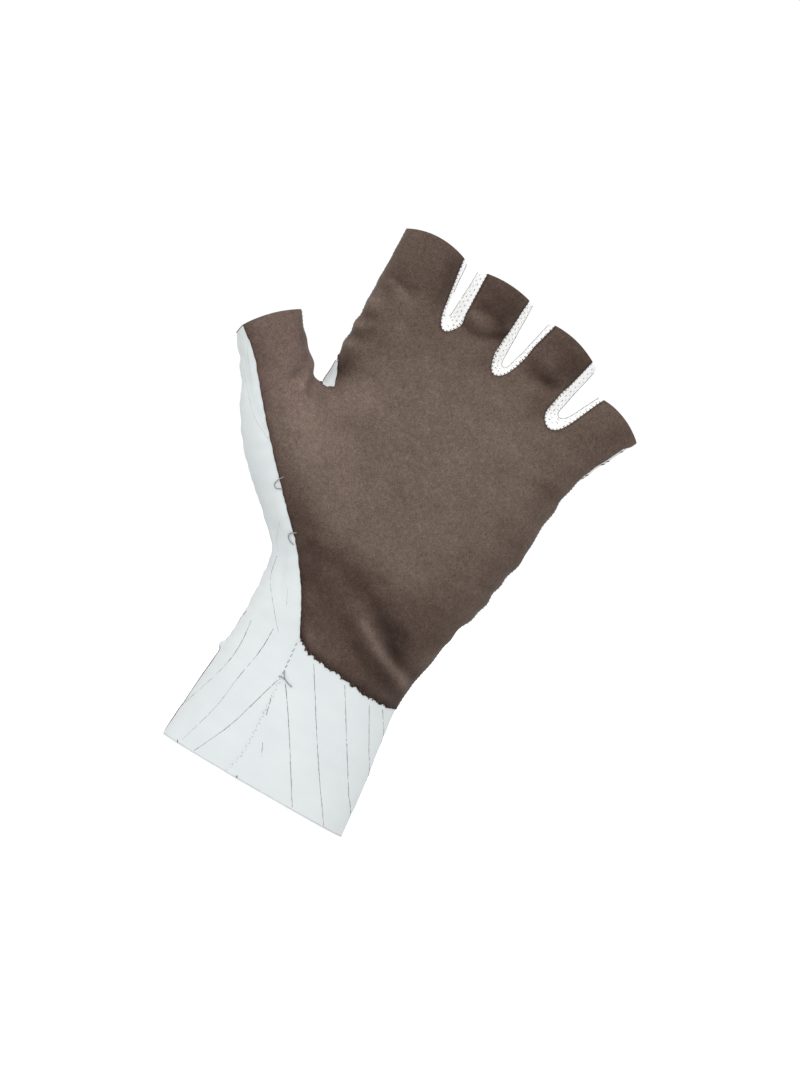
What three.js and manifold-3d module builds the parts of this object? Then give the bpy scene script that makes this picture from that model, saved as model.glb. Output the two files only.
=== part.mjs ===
// A fingerless aero cycling glove, the left one of a pair, in its worn shape.
//
// Millimetres, +Z up. The origin is the middle of the opening in the cuff's hem. The fingers
// point along +Z, the palm faces -Y and the thumb points up and out towards -X.
// Cloth tubes for the glove's body, fingers and thumb are joined and hollowed to one thin wall,
// and the seams divide that wall into six panels, with a small gap along every seam:
// palm, back, cuff front, and a mesh strip between each two fingers.
import * as THREE from "three";
import { mergeVertices } from "three/addons/utils/BufferGeometryUtils.js";
import Module from "manifold-3d";

const wasm = await Module();
wasm.setup();

const WALL = 1.2; // thickness of the cloth
const SEAM_GAP = 0.3; // between two panels at a seam
const REACH = 70; // further than any cloth from the glove's axis, for the cutting shapes
const TOP = 215; // higher than any cloth
const HEM_CUT = 22; // how far beyond a hem its tube is cut away
const HEM_OVERHANG = 1.2; // how far that cut reaches past the finger's two sides

// Body and cuff. Each row is a section across the axis: its height at x = 0, how much it rises
// for each millimetre to the right, its reach to the left and to the right, its depth to the
// palm and to the back, how square it is (2 is an ellipse), and the rings up to the next row.
const HAND = [
  { z: 0, rise: 0, left: 36.4, right: 35.8, palm: 22, back: 23.5, power: 2.1, steps: 2 },
  { z: 24, rise: 0, left: 34.9, right: 32.9, palm: 20.5, back: 22, power: 2.1, steps: 2 },
  { z: 46, rise: 0, left: 33.4, right: 29.7, palm: 18.5, back: 20, power: 2.15, steps: 3 },
  { z: 58, rise: 0, left: 33.8, right: 30.2, palm: 19, back: 19.2, power: 2.2, steps: 4 },
  { z: 70, rise: 0, left: 34.6, right: 32.8, palm: 20.5, back: 18.2, power: 2.25, steps: 4 },
  { z: 82, rise: 0, left: 36.5, right: 34.6, palm: 21, back: 17.3, power: 2.3, steps: 3 },
  { z: 96, rise: 0, left: 40, right: 38.2, palm: 20, back: 16.4, power: 2.35, steps: 2 },
  { z: 112, rise: 0, left: 44, right: 41, palm: 18.3, back: 15.6, power: 2.4, steps: 2 },
  { z: 128, rise: -0.02, left: 48.6, right: 42, palm: 16.6, back: 15, power: 2.45, steps: 2 },
  { z: 143, rise: -0.08, left: 49.8, right: 42.8, palm: 15.2, back: 14.4, power: 2.5, steps: 1 },
  { z: 154, rise: -0.15, left: 49.8, right: 44.8, palm: 13.8, back: 13.4, power: 2.5, steps: 1 },
  { z: 162, rise: -0.2, left: 48, right: 45, palm: 12.4, back: 12.2, power: 2.5, steps: 1 },
  { z: 168, rise: -0.21, left: 45.5, right: 43, palm: 9.4, back: 9.4, power: 2.4, steps: 1 },
  { z: 170.7, rise: -0.21, left: 42, right: 40, palm: 4, back: 4, power: 2.2, steps: 1 },
];

// Fingers. Each has a hidden start inside the body, a root level with the webs and an end past
// its hem, with the half width and half depth there. The hem is an arc through its two sides,
// bulging by the last column.
const FINGERS = [
  {
    name: "index",
    rows: [
      { x: -34.6, z: 138, half: 11.6, depth: 10 },
      { x: -37, z: 168, half: 13.2, depth: 11.9 },
      { x: -38.1, z: 184, half: 12.5, depth: 11.3 },
      { x: -39.4, z: 206, half: 12.1, depth: 10.7 },
    ],
    hem: { leftX: -51.8, leftZ: 195.4, rightX: -27, rightZ: 195.9, bulge: 2.8 },
  },
  {
    name: "middle",
    rows: [
      { x: -11, z: 138, half: 11, depth: 10.2 },
      { x: -11, z: 166, half: 12, depth: 12.1 },
      { x: -11, z: 182, half: 11.7, depth: 11.5 },
      { x: -10.9, z: 204, half: 11.5, depth: 10.9 },
    ],
    hem: { leftX: -23, leftZ: 195, rightX: 1, rightZ: 194.4, bulge: 1.8 },
  },
  {
    name: "ring",
    rows: [
      { x: 8.6, z: 136, half: 10.5, depth: 9.6 },
      { x: 13.8, z: 163, half: 11.7, depth: 11.5 },
      { x: 17.3, z: 178, half: 11.6, depth: 10.9 },
      { x: 22.3, z: 199, half: 11.4, depth: 10.2 },
    ],
    hem: { leftX: 7.6, leftZ: 192, rightX: 31.3, rightZ: 185.8, bulge: 2.5 },
  },
  {
    name: "little",
    rows: [
      { x: 30, z: 136, half: 9.6, depth: 8.4 },
      { x: 37, z: 156, half: 10.2, depth: 10 },
      { x: 42.9, z: 168, half: 10.2, depth: 9.4 },
      { x: 51.2, z: 186, half: 10, depth: 8.9 },
    ],
    hem: { leftX: 36, leftZ: 178.8, rightX: 55.9, rightZ: 171, bulge: 2.3 },
  },
];

// Thumb, from its hidden start low in the body to past its hem.
const THUMB = [
  { x: -16, y: -1, z: 74, half: 11, palm: 12, back: 11 },
  { x: -26.2, y: -3, z: 86.8, half: 14, palm: 17, back: 13.6 },
  { x: -38, y: -4.5, z: 99.5, half: 15.8, palm: 18, back: 13.4 },
  { x: -49.6, y: -6, z: 111.8, half: 16.6, palm: 15.8, back: 12.6 },
  { x: -60.6, y: -7, z: 123.8, half: 14.5, palm: 13, back: 11.4 },
  { x: -68.8, y: -7.5, z: 134.4, half: 12.7, palm: 11.2, back: 10.6 },
  { x: -82.1, y: -8, z: 148.9, half: 12.2, palm: 10.4, back: 10 },
];
const THUMB_HEM = { leftX: -85.6, leftZ: 134.2, rightX: -68.4, rightZ: 153, bulge: 1.9 };

// Folds of the worn palm, as crests (+) and dents (-) along a line from (x0, z0) to (x1, z1).
const FOLDS = [
  { x0: -10, z0: 83, x1: 32, z1: 57, lift: 1.7, width: 3.4 },
  { x0: -4, z0: 88, x1: 33, z1: 64.5, lift: -1.9, width: 3.6 },
  { x0: -12, z0: 74, x1: 30, z1: 52.5, lift: -1.2, width: 3 },
  { x0: -42, z0: 99, x1: -12, z1: 66, lift: -1.5, width: 6 },
  { x0: -62, z0: 124, x1: -55, z1: 136, lift: -1.4, width: 3 },
  { x0: -20, z0: 177, x1: -3, z1: 176.5, lift: -1.1, width: 2.6 },
  { x0: 9, z0: 178, x1: 24, z1: 172, lift: -1.1, width: 2.8 },
];

// Edges of the palm cloth as seen from the palm. Each row of WEBS is the cloth's edge between
// two fingers: down one finger from its hem to its root, round the web's low point, and up the
// next finger.
const WEBS = [
  {
    name: "index_middle",
    hemLeft: { x: -28.8, z: 197 },
    rootLeft: { x: -26, z: 178 },
    low: { x: -22.1, z: 171 },
    rootRight: { x: -18.4, z: 178 },
    hemRight: { x: -19.1, z: 196.5 },
  },
  {
    name: "middle_ring",
    hemLeft: { x: -1.4, z: 196 },
    rootLeft: { x: -2.4, z: 173.5 },
    low: { x: 0.7, z: 166.6 },
    rootRight: { x: 6.2, z: 174 },
    hemRight: { x: 10.4, z: 192 },
  },
  {
    name: "ring_little",
    hemLeft: { x: 28.9, z: 189 },
    rootLeft: { x: 23.3, z: 166 },
    low: { x: 26.8, z: 159.9 },
    rootRight: { x: 32.6, z: 166 },
    hemRight: { x: 38.2, z: 178.6 },
  },
];

// The palm cloth's free edges: along the thumb's left side from cuff to hem, and the low edge
// where the cuff's front joins it.
const THUMB_SIDE = [
  { x: -11.9, z: 53.6 },
  { x: -18.6, z: 66 },
  { x: -27.6, z: 78 },
  { x: -39, z: 90.4 },
  { x: -55.4, z: 108 },
  { x: -66.3, z: 120 },
  { x: -75.4, z: 130.6 },
  { x: -83.2, z: 137.2 },
];
const LOW_EDGE = [
  { x: 34, z: 48.2 },
  { x: 20, z: 47.2 },
  { x: 5, z: 48.4 },
  { x: -6, z: 49.8 },
  { x: -11.9, z: 53.6 },
];
// Where the palm cloth leaves the thumb's web, so that the back shows beside the index finger.
const WEB_NOTCH = [
  { x: -55.6, z: 141.5 },
  { x: -51.6, z: 136.4 },
  { x: -49.8, z: 134.2 },
  { x: -46.1, z: 134.9 },
  { x: -47, z: 139 },
  { x: -49.1, z: 143.6 },
  { x: -52.6, z: 149 },
];

// Seam down the front of the cuff, from the palm cloth's corner to the hem.
const CUFF_SEAM = [
  { x: -11.9, z: 53.6 },
  { x: -10.6, z: 40 },
  { x: -9.4, z: 22 },
  { x: -8.7, z: -4 },
];

// Depth of the side seams, where palm and cuff front meet the back, across the glove.
const SIDE_SEAM = [
  { x: -REACH * 1.4, y: -8 },
  { x: -72, y: -7.5 },
  { x: -60, y: -4 },
  { x: -54, y: 1 },
  { x: REACH, y: 1 },
];

const LIMB_STEPS = 2; // rings from one row to the next, on the thumb and the fingers
const POINTS = { hand: 38, thumb: 22, finger: 18 }; // round one ring
const FINGER_POWER = 2.15;

// A place t along a table of rows, with every column on a smooth curve through the rows.
function rowAt(rows, t) {
  const first = Math.min(Math.floor(t), rows.length - 2);
  const f = t - first;
  const near = [-1, 0, 1, 2].map((k) => rows[THREE.MathUtils.clamp(first + k, 0, rows.length - 1)]);
  const row = {};
  for (const key of Object.keys(rows[0])) {
    const [a, b, c, d] = near.map((r) => r[key]);
    const bend = 2 * a - 5 * b + 4 * c - d + f * (3 * (b - c) + d - a);
    row[key] = b + 0.5 * f * (c - a + f * bend);
  }
  return row;
}

function manyRows(rows) {
  const many = rows.slice(0, -1).flatMap((row, i) => {
    const steps = row.steps ?? LIMB_STEPS;
    return Array.from({ length: steps }, (_, k) => rowAt(rows, i + k / steps));
  });
  return [...many, rows[rows.length - 1]];
}

// How far the folds lift the palm's cloth at a place seen from the palm.
function foldLift(x, z) {
  let lift = 0;
  for (const fold of FOLDS) {
    const dx = fold.x1 - fold.x0;
    const dz = fold.z1 - fold.z0;
    const along = ((x - fold.x0) * dx + (z - fold.z0) * dz) / (dx * dx + dz * dz);
    const t = THREE.MathUtils.clamp(along, 0, 1);
    const off = Math.hypot(x - fold.x0 - t * dx, z - fold.z0 - t * dz);
    const taper = Math.sin(Math.PI * (0.15 + 0.7 * t));
    lift += fold.lift * taper * Math.exp(-((off / fold.width) ** 2));
  }
  return lift;
}

// One ring of a tube: a rounded section with its own reach to left, right, palm and back.
function ring(section, points, inset) {
  const out = [];
  for (let i = 0; i < points; i++) {
    const angle = (2 * Math.PI * i) / points;
    const bend = 2 / section.power;
    const c = Math.sign(Math.cos(angle)) * Math.abs(Math.cos(angle)) ** bend;
    const s = Math.sign(Math.sin(angle)) * Math.abs(Math.sin(angle)) ** bend;
    const depth = (s > 0 ? section.back : section.palm) - inset;
    const p = section.centre.clone().addScaledVector(section.across, c * (section.half - inset));
    p.y += s * depth;
    if (s < 0) p.y += s * foldLift(p.x, p.z);
    out.push(p);
  }
  return out;
}

// A closed tube through rings of the same number of points.
function tube(rings) {
  const count = rings[0].length;
  const positions = rings.flat().flatMap((p) => [p.x, p.y, p.z]);
  const index = [];
  for (let r = 0; r + 1 < rings.length; r++) {
    for (let k = 0; k < count; k++) {
      const a = r * count + k;
      const b = r * count + ((k + 1) % count);
      index.push(a, b, b + count, a, b + count, a + count);
    }
  }
  for (const last of [0, 1]) {
    const cap = last ? rings[rings.length - 1] : rings[0];
    const middle = cap.reduce((sum, p) => sum.add(p), new THREE.Vector3()).divideScalar(count);
    const centre = positions.push(middle.x, middle.y, middle.z) / 3 - 1;
    const start = last ? (rings.length - 1) * count : 0;
    for (let k = 0; k < count; k++) {
      const a = start + k;
      const b = start + ((k + 1) % count);
      index.push(centre, last ? a : b, last ? b : a);
    }
  }
  const geometry = new THREE.BufferGeometry();
  geometry.setAttribute("position", new THREE.Float32BufferAttribute(positions, 3));
  geometry.setIndex(index);
  return solid(geometry);
}

// Joining and cutting is done on manifold-3d solids.
function solid(geometry) {
  const bare = new THREE.BufferGeometry();
  bare.setAttribute("position", geometry.getAttribute("position"));
  bare.setIndex(geometry.index);
  const merged = mergeVertices(bare, 1e-4);
  return new wasm.Manifold(
    new wasm.Mesh({
      numProp: 3,
      vertProperties: merged.attributes.position.array,
      triVerts: new Uint32Array(merged.index.array),
    }),
  );
}

function joined(solids) {
  return solids.reduce((sum, part) => sum.add(part));
}

function handSections() {
  return manyRows(HAND).map((row) => {
    const x = (row.right - row.left) / 2;
    return {
      centre: new THREE.Vector3(x, 0, row.z + row.rise * x),
      across: new THREE.Vector3(1, 0, row.rise),
      half: (row.right + row.left) / 2,
      palm: row.palm,
      back: row.back,
      power: row.power,
    };
  });
}

// Sections square to the line that the rows' centres follow.
function limbSections(rows) {
  const many = manyRows(rows);
  const centres = many.map((row) => new THREE.Vector3(row.x, row.y ?? 0, row.z));
  return many.map((row, i) => {
    const from = centres[Math.max(i - 1, 0)];
    const to = centres[Math.min(i + 1, centres.length - 1)];
    const turn = Math.atan2(to.x - from.x, to.z - from.z);
    return {
      centre: centres[i],
      across: new THREE.Vector3(Math.cos(turn), 0, -Math.sin(turn)),
      half: row.half,
      palm: row.palm ?? row.depth,
      back: row.back ?? row.depth,
      power: FINGER_POWER,
    };
  });
}

// The outer and the inner surface of a tube of cloth, as two solids.
function clothTube(sections, points) {
  return [0, WALL].map((inset) => tube(sections.map((section) => ring(section, points, inset))));
}

function handTube() {
  const sections = handSections();
  const outer = tube(sections.map((section) => ring(section, POINTS.hand, 0)));
  const inside = sections.map((section) => ({ ...section, centre: section.centre.clone() }));
  inside[0].centre.z -= 4;
  inside[inside.length - 1].centre.z -= WALL;
  const inner = tube(inside.map((section) => ring(section, POINTS.hand, WALL)));
  return [outer, inner];
}

// A shape cut through the glove from palm to back, from a closed outline in x and z.
function through(outline, grow) {
  const shape = new THREE.Shape(grown(outline, grow));
  const depth = 2 * REACH;
  const geometry = new THREE.ExtrudeGeometry(shape, { depth, bevelEnabled: false });
  return solid(geometry.rotateX(Math.PI / 2).translate(0, REACH, 0));
}

// An outline with every point moved out by a distance, or in if it is negative.
function grown(outline, distance) {
  const points = outline.map((p) => new THREE.Vector2(p.x, p.z ?? p.y));
  const spread = THREE.ShapeUtils.area(points) > 0 ? distance : -distance;
  return points.map((p, i) => {
    const before = points[(i + points.length - 1) % points.length];
    const after = points[(i + 1) % points.length];
    const a = p.clone().sub(before).normalize();
    const b = after.clone().sub(p).normalize();
    const mitre = 1 / Math.max(1 + a.dot(b), 0.5);
    return new THREE.Vector2(p.x + (a.y + b.y) * mitre * spread, p.y - (a.x + b.x) * mitre * spread);
  });
}

// The front of the glove, up to the side seams.
function frontHalf(grow) {
  const edge = SIDE_SEAM.map((p) => new THREE.Vector2(p.x, p.y + grow));
  const front = [new THREE.Vector2(REACH, -REACH), new THREE.Vector2(-REACH * 1.4, -REACH)];
  const shape = new THREE.Shape([...edge, ...front]);
  const geometry = new THREE.ExtrudeGeometry(shape, { depth: TOP + 20, bevelEnabled: false });
  return solid(geometry.translate(0, 0, -20));
}

function smoothLine(rows, divisions) {
  const curve = new THREE.SplineCurve(rows.map((p) => new THREE.Vector2(p.x, p.z)));
  return curve.getPoints(divisions).map((p) => ({ x: p.x, z: p.y }));
}

// The palm cloth's edge between two fingers, as a rounded U.
function webEdge(web) {
  const at = (p) => new THREE.Vector2(p.x, p.z);
  const handle = (root, hem) => at(root).add(at(root).sub(at(hem)).setLength(0.45 * (root.z - web.low.z)));
  const low = at(web.low);
  const path = new THREE.Path();
  path.moveTo(web.hemLeft.x, web.hemLeft.z);
  path.lineTo(web.rootLeft.x, web.rootLeft.z);
  const into = handle(web.rootLeft, web.hemLeft);
  const out = handle(web.rootRight, web.hemRight);
  const left = 0.5 * (low.x - web.rootLeft.x);
  const right = 0.5 * (web.rootRight.x - low.x);
  path.bezierCurveTo(into.x, into.y, low.x - left, low.y, low.x, low.y);
  path.bezierCurveTo(low.x + right, low.y, out.x, out.y, web.rootRight.x, web.rootRight.z);
  path.lineTo(web.hemRight.x, web.hemRight.z);
  return path.getPoints(5).map((p) => ({ x: p.x, z: p.y }));
}

// The same point pushed up past the hem, along the line from root to hem.
function pastHem(root, hem) {
  const reach = (TOP - hem.z) / (hem.z - root.z);
  return { x: hem.x + reach * 0.2 * (hem.x - root.x), z: TOP };
}

function palmOutline() {
  const rightSide = { x: REACH - 2, z: 160 };
  const outline = [...smoothLine(LOW_EDGE, 12), ...smoothLine(THUMB_SIDE, 14).slice(1)];
  outline.push({ x: -91, z: 141 }, { x: -77, z: 161 }, { x: -66.5, z: 153.5 });
  outline.push(...WEB_NOTCH, { x: -55, z: 156 }, { x: -55, z: TOP });
  for (const web of WEBS) {
    outline.push(pastHem(web.rootLeft, web.hemLeft), ...webEdge(web));
    outline.push(pastHem(web.rootRight, web.hemRight));
  }
  outline.push({ x: rightSide.x, z: TOP }, rightSide, { x: 50, z: 130 });
  return outline;
}

function webOutline(web) {
  return [
    pastHem(web.rootLeft, web.hemLeft),
    ...webEdge(web),
    pastHem(web.rootRight, web.hemRight),
  ];
}

function cuffOutline() {
  const lowEdge = smoothLine(LOW_EDGE, 12);
  const seam = smoothLine(CUFF_SEAM, 6).slice(1);
  return [{ x: 50, z: -4 }, { x: 50, z: 48.2 }, ...lowEdge, ...seam];
}

// Everything beyond a hem, whose edge is an arc through its two sides.
function beyondHem(hem) {
  const left = new THREE.Vector2(hem.leftX, hem.leftZ);
  const right = new THREE.Vector2(hem.rightX, hem.rightZ);
  const along = right.clone().sub(left).normalize();
  const up = new THREE.Vector2(-along.y, along.x);
  const crest = left.clone().lerp(right, 0.5).addScaledVector(up, 2 * hem.bulge);
  const arc = new THREE.QuadraticBezierCurve(left, crest, right).getPoints(8);
  const before = left.clone().addScaledVector(along, -HEM_OVERHANG);
  const after = right.clone().addScaledVector(along, HEM_OVERHANG);
  const far = [after, before].map((p) => p.clone().addScaledVector(up, HEM_CUT));
  const outline = [before, ...arc, after, ...far].map((p) => ({ x: p.x, z: p.y }));
  return through(outline, 0);
}

function gloveWall() {
  const tubes = [handTube(), clothTube(limbSections(THUMB), POINTS.thumb)];
  for (const finger of FINGERS) {
    tubes.push(clothTube(limbSections(finger.rows), POINTS.finger));
  }
  const outer = joined(tubes.map((pair) => pair[0]));
  const inner = joined(tubes.map((pair) => pair[1]));
  const hems = [...FINGERS.map((finger) => finger.hem), THUMB_HEM].map(beyondHem);
  return outer.subtract(inner).subtract(joined(hems));
}

const SUEDE = { color: 0x6b5d56, roughness: 0.95, metalness: 0 };
const STRETCH_KNIT = { color: 0xe4e9ea, roughness: 0.6, metalness: 0 };
const MESH_CLOTH = { color: 0xf1f2f0, roughness: 0.75, metalness: 0 };

function panel(name, made, look) {
  const { vertProperties, triVerts } = made.getMesh();
  const geometry = new THREE.BufferGeometry();
  geometry.setAttribute("position", new THREE.BufferAttribute(vertProperties, 3));
  geometry.setIndex(new THREE.BufferAttribute(triVerts, 1));
  const mesh = new THREE.Mesh(geometry, new THREE.MeshStandardMaterial(look));
  mesh.name = name;
  return mesh;
}

const half = SEAM_GAP / 2;
const wall = gloveWall();
const palmShape = (grow) => through(palmOutline(), grow).intersect(frontHalf(grow));
const cuffShape = (grow) => through(cuffOutline(), grow).intersect(frontHalf(grow));
const webShapes = WEBS.map((web) => (grow) => through(webOutline(web), grow));

const glove = new THREE.Group();
glove.add(panel("palm", wall.intersect(palmShape(-half)), SUEDE));
glove.add(panel("cuff_front", wall.intersect(cuffShape(-half)), STRETCH_KNIT));
WEBS.forEach((web, i) => {
  const strip = wall.intersect(webShapes[i](-half));
  glove.add(panel("mesh_strip_" + web.name, strip, MESH_CLOTH));
});
const notBack = [palmShape, cuffShape, ...webShapes].map((shape) => shape(half));
glove.add(panel("back", wall.subtract(joined(notBack)), STRETCH_KNIT));

export default glove;
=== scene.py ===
# A fingerless cycling glove in its worn shape, as thin sewn panels of cloth.
# Lengths in the tables are millimetres, as in the CAD part, and turned to metres when a mesh is made.
import math
import bpy
import numpy as np
from mathutils import Matrix, Vector
from mathutils.bvhtree import BVHTree


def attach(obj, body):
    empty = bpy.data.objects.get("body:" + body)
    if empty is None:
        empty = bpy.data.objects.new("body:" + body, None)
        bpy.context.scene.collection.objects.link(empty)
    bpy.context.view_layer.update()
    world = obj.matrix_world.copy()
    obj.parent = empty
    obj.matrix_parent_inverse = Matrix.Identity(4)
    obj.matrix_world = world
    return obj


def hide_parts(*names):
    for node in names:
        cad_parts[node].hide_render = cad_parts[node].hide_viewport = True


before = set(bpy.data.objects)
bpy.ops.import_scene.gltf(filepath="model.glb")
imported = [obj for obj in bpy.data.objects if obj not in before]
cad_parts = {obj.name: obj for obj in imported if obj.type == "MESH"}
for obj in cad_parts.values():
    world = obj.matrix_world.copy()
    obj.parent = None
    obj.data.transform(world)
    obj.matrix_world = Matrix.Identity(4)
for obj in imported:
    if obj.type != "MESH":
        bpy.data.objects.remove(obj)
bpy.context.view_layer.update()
mm = 0.001


# Small helpers

def linear(hexColour):
    parts = [int(hexColour[i:i + 2], 16) / 255 for i in (1, 3, 5)]
    return tuple(p / 12.92 if p <= 0.04045 else ((p + 0.055) / 1.055) ** 2.4 for p in parts) + (1.0,)


def addNode(tree, kind, settings=None, links=None):
    # settings by property or input name, links as input name -> output socket
    node = tree.nodes.new(kind)
    for key, value in (settings or {}).items():
        if isinstance(key, str) and hasattr(node, key) and key not in node.inputs:
            setattr(node, key, value)
        else:
            node.inputs[key].default_value = value
    for key, socket in (links or {}).items():
        tree.links.new(socket, node.inputs[key])
    return node


def newMaterial(name):
    material = bpy.data.materials.new(name)
    material.use_nodes = True
    material.node_tree.nodes.clear()
    return material, material.node_tree


def smoothStep(low, high, value):
    t = np.clip((value - low) / (high - low), 0, 1)
    return t * t * (3 - 2 * t)


def between(rise, full, fade, end, value):
    # 0 outside, 1 from full to fade
    return smoothStep(rise, full, value) * smoothStep(end, fade, value)


def bell(distance, reach):
    # 1 in the middle, falling softly to 0.37 at the reach
    return np.exp(-(distance / reach) ** 2)


def runAlong(line):
    # the line's length up to each of its points
    return np.concatenate([[0], np.cumsum(np.linalg.norm(np.diff(line, axis=0), axis=1))])


def nearestSpot(points, spots):
    # distance to the nearest of the spots, and which one it is; in parts, to save memory
    gap, number = np.empty(len(points)), np.empty(len(points), int)
    for start in range(0, len(points), 8192):
        part = slice(start, start + 8192)
        squares = ((points[part][:, None] - spots[None]) ** 2).sum(-1)
        gap[part], number[part] = np.sqrt(squares.min(1)), squares.argmin(1)
    return gap, number


def edgesOf(tris):
    return np.vstack([tris[:, (0, 1)], tris[:, (1, 2)], tris[:, (2, 0)]])


# The glove's form: tubes through rows of sections, on smooth curves from row to row

bodyRows = np.array([
    # z, rise to the right, left, right, palm, back, squareness
    [-12, 0, 37.1, 37.2, 22.8, 24.3, 2.1],
    [0, 0, 36.4, 35.8, 22, 23.5, 2.1],
    [24, 0, 34.9, 32.9, 20.5, 22, 2.1],
    [46, 0, 33.4, 29.7, 18.5, 20, 2.15],
    [58, 0, 33.8, 30.2, 19, 19.2, 2.2],
    [70, 0, 34.6, 32.8, 20.5, 18.2, 2.25],
    [82, 0, 36.5, 34.6, 21, 17.3, 2.3],
    [96, 0, 40, 38.2, 20, 16.4, 2.35],
    [112, 0, 44, 41, 18.3, 15.6, 2.4],
    [128, -0.02, 48.6, 42, 16.6, 15, 2.45],
    [143, -0.08, 49.8, 42.8, 15.2, 14.4, 2.5],
    [154, -0.15, 49.8, 44.8, 13.8, 13.4, 2.5],
    [162, -0.2, 48, 45, 12.4, 12.2, 2.5],
    [168, -0.21, 45.5, 43, 9.4, 9.4, 2.4],
    [170.7, -0.21, 42, 40, 4, 4, 2.2],
])
fingerRows = {
    # x, y, z, half width, depth to the palm, depth to the back
    "index": [
        [-34.6, 0, 138, 11.6, 10, 10], [-37, 0, 168, 13.2, 11.9, 11.9],
        [-38.1, 0, 184, 12.5, 11.3, 11.3], [-39.4, 0, 206, 12.1, 10.7, 10.7]],
    "middle": [
        [-11, 0, 138, 11, 10.2, 10.2], [-11, 0, 166, 12, 12.1, 12.1],
        [-11, 0, 182, 11.7, 11.5, 11.5], [-10.9, 0, 204, 11.5, 10.9, 10.9]],
    "ring": [
        [8.6, 0, 136, 10.5, 9.6, 9.6], [13.8, 0, 163, 11.7, 11.5, 11.5],
        [17.3, 0, 178, 11.6, 10.9, 10.9], [22.3, 0, 199, 11.4, 10.2, 10.2]],
    "little": [
        [30, 0, 136, 9.6, 8.4, 8.4], [37, 0, 156, 10.2, 10, 10],
        [42.9, 0, 168, 10.2, 9.4, 9.4], [51.2, 0, 186, 10, 8.9, 8.9]],
}
thumbRows = [
    [-16, -1, 74, 11, 12, 11], [-26.2, -3, 86.8, 14, 17, 13.6], [-38, -4.5, 99.5, 15.8, 18, 13.4],
    [-49.6, -6, 111.8, 16.6, 15.8, 12.6], [-60.6, -7, 123.8, 14.5, 13, 11.4],
    [-68.8, -7.5, 134.4, 12.7, 11.2, 10.6], [-82.1, -8, 148.9, 12.2, 10.4, 10],
]
hemArcs = {
    # left x, z, right x, z, bulge
    "index": (-51.8, 195.4, -27, 195.9, 2.8),
    "middle": (-23, 195, 1, 194.4, 1.8),
    "ring": (7.6, 192, 31.3, 185.8, 2.3),
    "little": (36, 178.3, 55.9, 171, 2.1),
    "thumb": (-85.6, 134.1, -68.4, 152.9, 1.7),
}
# Cloth edges, seen from the palm as (x, z). A web is: hem, root, low point, root, hem.
webs = {
    "IndexMiddle": [(-28.8, 197), (-26, 178), (-22.1, 171), (-18, 178), (-18.6, 196.5)],
    "MiddleRing": [(-1.7, 196), (-2.5, 173.5), (0.7, 166.6), (6.4, 173.9), (10.9, 192)],
    "RingLittle": [(28.4, 189), (22.9, 166), (26.8, 159.9), (32.9, 166), (38.6, 178.6)],
}
thumbSide = [
    (-11.9, 53.6), (-18.6, 66), (-27.6, 78), (-39, 90.4), (-55.3, 108.1), (-66, 120.2),
    (-75.1, 130.8), (-83, 137.4)]
lowEdge = [(34, 48.2), (20, 47.4), (6, 48.9), (-6, 50.3), (-11.9, 53.6)]
thumbNotch = [
    (-55.6, 141.5), (-51.6, 136.4), (-49.3, 133.6), (-47.4, 133.5), (-44.9, 134.9), (-46.2, 138.6),
    (-48.4, 143.5), (-52.6, 149)]
cuffSeam = [(-11.9, 53.6), (-10.6, 40), (-9.3, 22), (-9, 8), (-12.4, -4)]
sideSeam = [(-98, -8), (-72, -7.5), (-60, -4), (-54, 1), (70, 1)]  # x and depth y

cloth = {
    "step": 0.9,        # mm between two rows of the cloth's mesh
    "squareness": 2.15,  # of the fingers and the thumb
    "thumbBlend": 3.0,  # mm over which the thumb's tube runs into the body, at the outline
    "palmBlend": 8.0,   # and on the palm and the back
    "fingerBlend": 2.6,
    "blendDepth": 9.0,  # mm in front of and behind the outline where the blend is full
    "slopeGap": 0.25,   # mm to each side, for the field's slope
}


def rowsAt(rows, t):
    first = np.clip(np.floor(t).astype(int), 0, len(rows) - 2)
    f = (t - first)[:, None]
    a, b, c, d = (rows[np.clip(first + k, 0, len(rows) - 1)] for k in (-1, 0, 1, 2))
    bend = 2 * a - 5 * b + 4 * c - d + f * (3 * (b - c) + d - a)
    return b + 0.5 * f * (c - a + f * bend)


def bodyColumns(xs, zs):
    # for each (x, z): offset, depth of the middle, half width, depth to the palm and to the back,
    # squareness, way past the tube's end
    t = np.linspace(0, len(bodyRows) - 1, 900)
    rows = rowsAt(bodyRows, t)
    place = np.stack([np.interp(zs, rows[:, 0] + rows[:, 1] * x, t) for x in xs])
    z, rise, left, right, palm, back, power = (np.interp(place, t, rows[:, k]) for k in range(7))
    u = xs[:, None] - (right - left) / 2
    over = zs[None, :] - (bodyRows[-1, 0] + bodyRows[-1, 1] * xs[:, None])
    return np.stack([u, 0 * u, (left + right) / 2, palm, back, power, over], -1)


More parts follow.
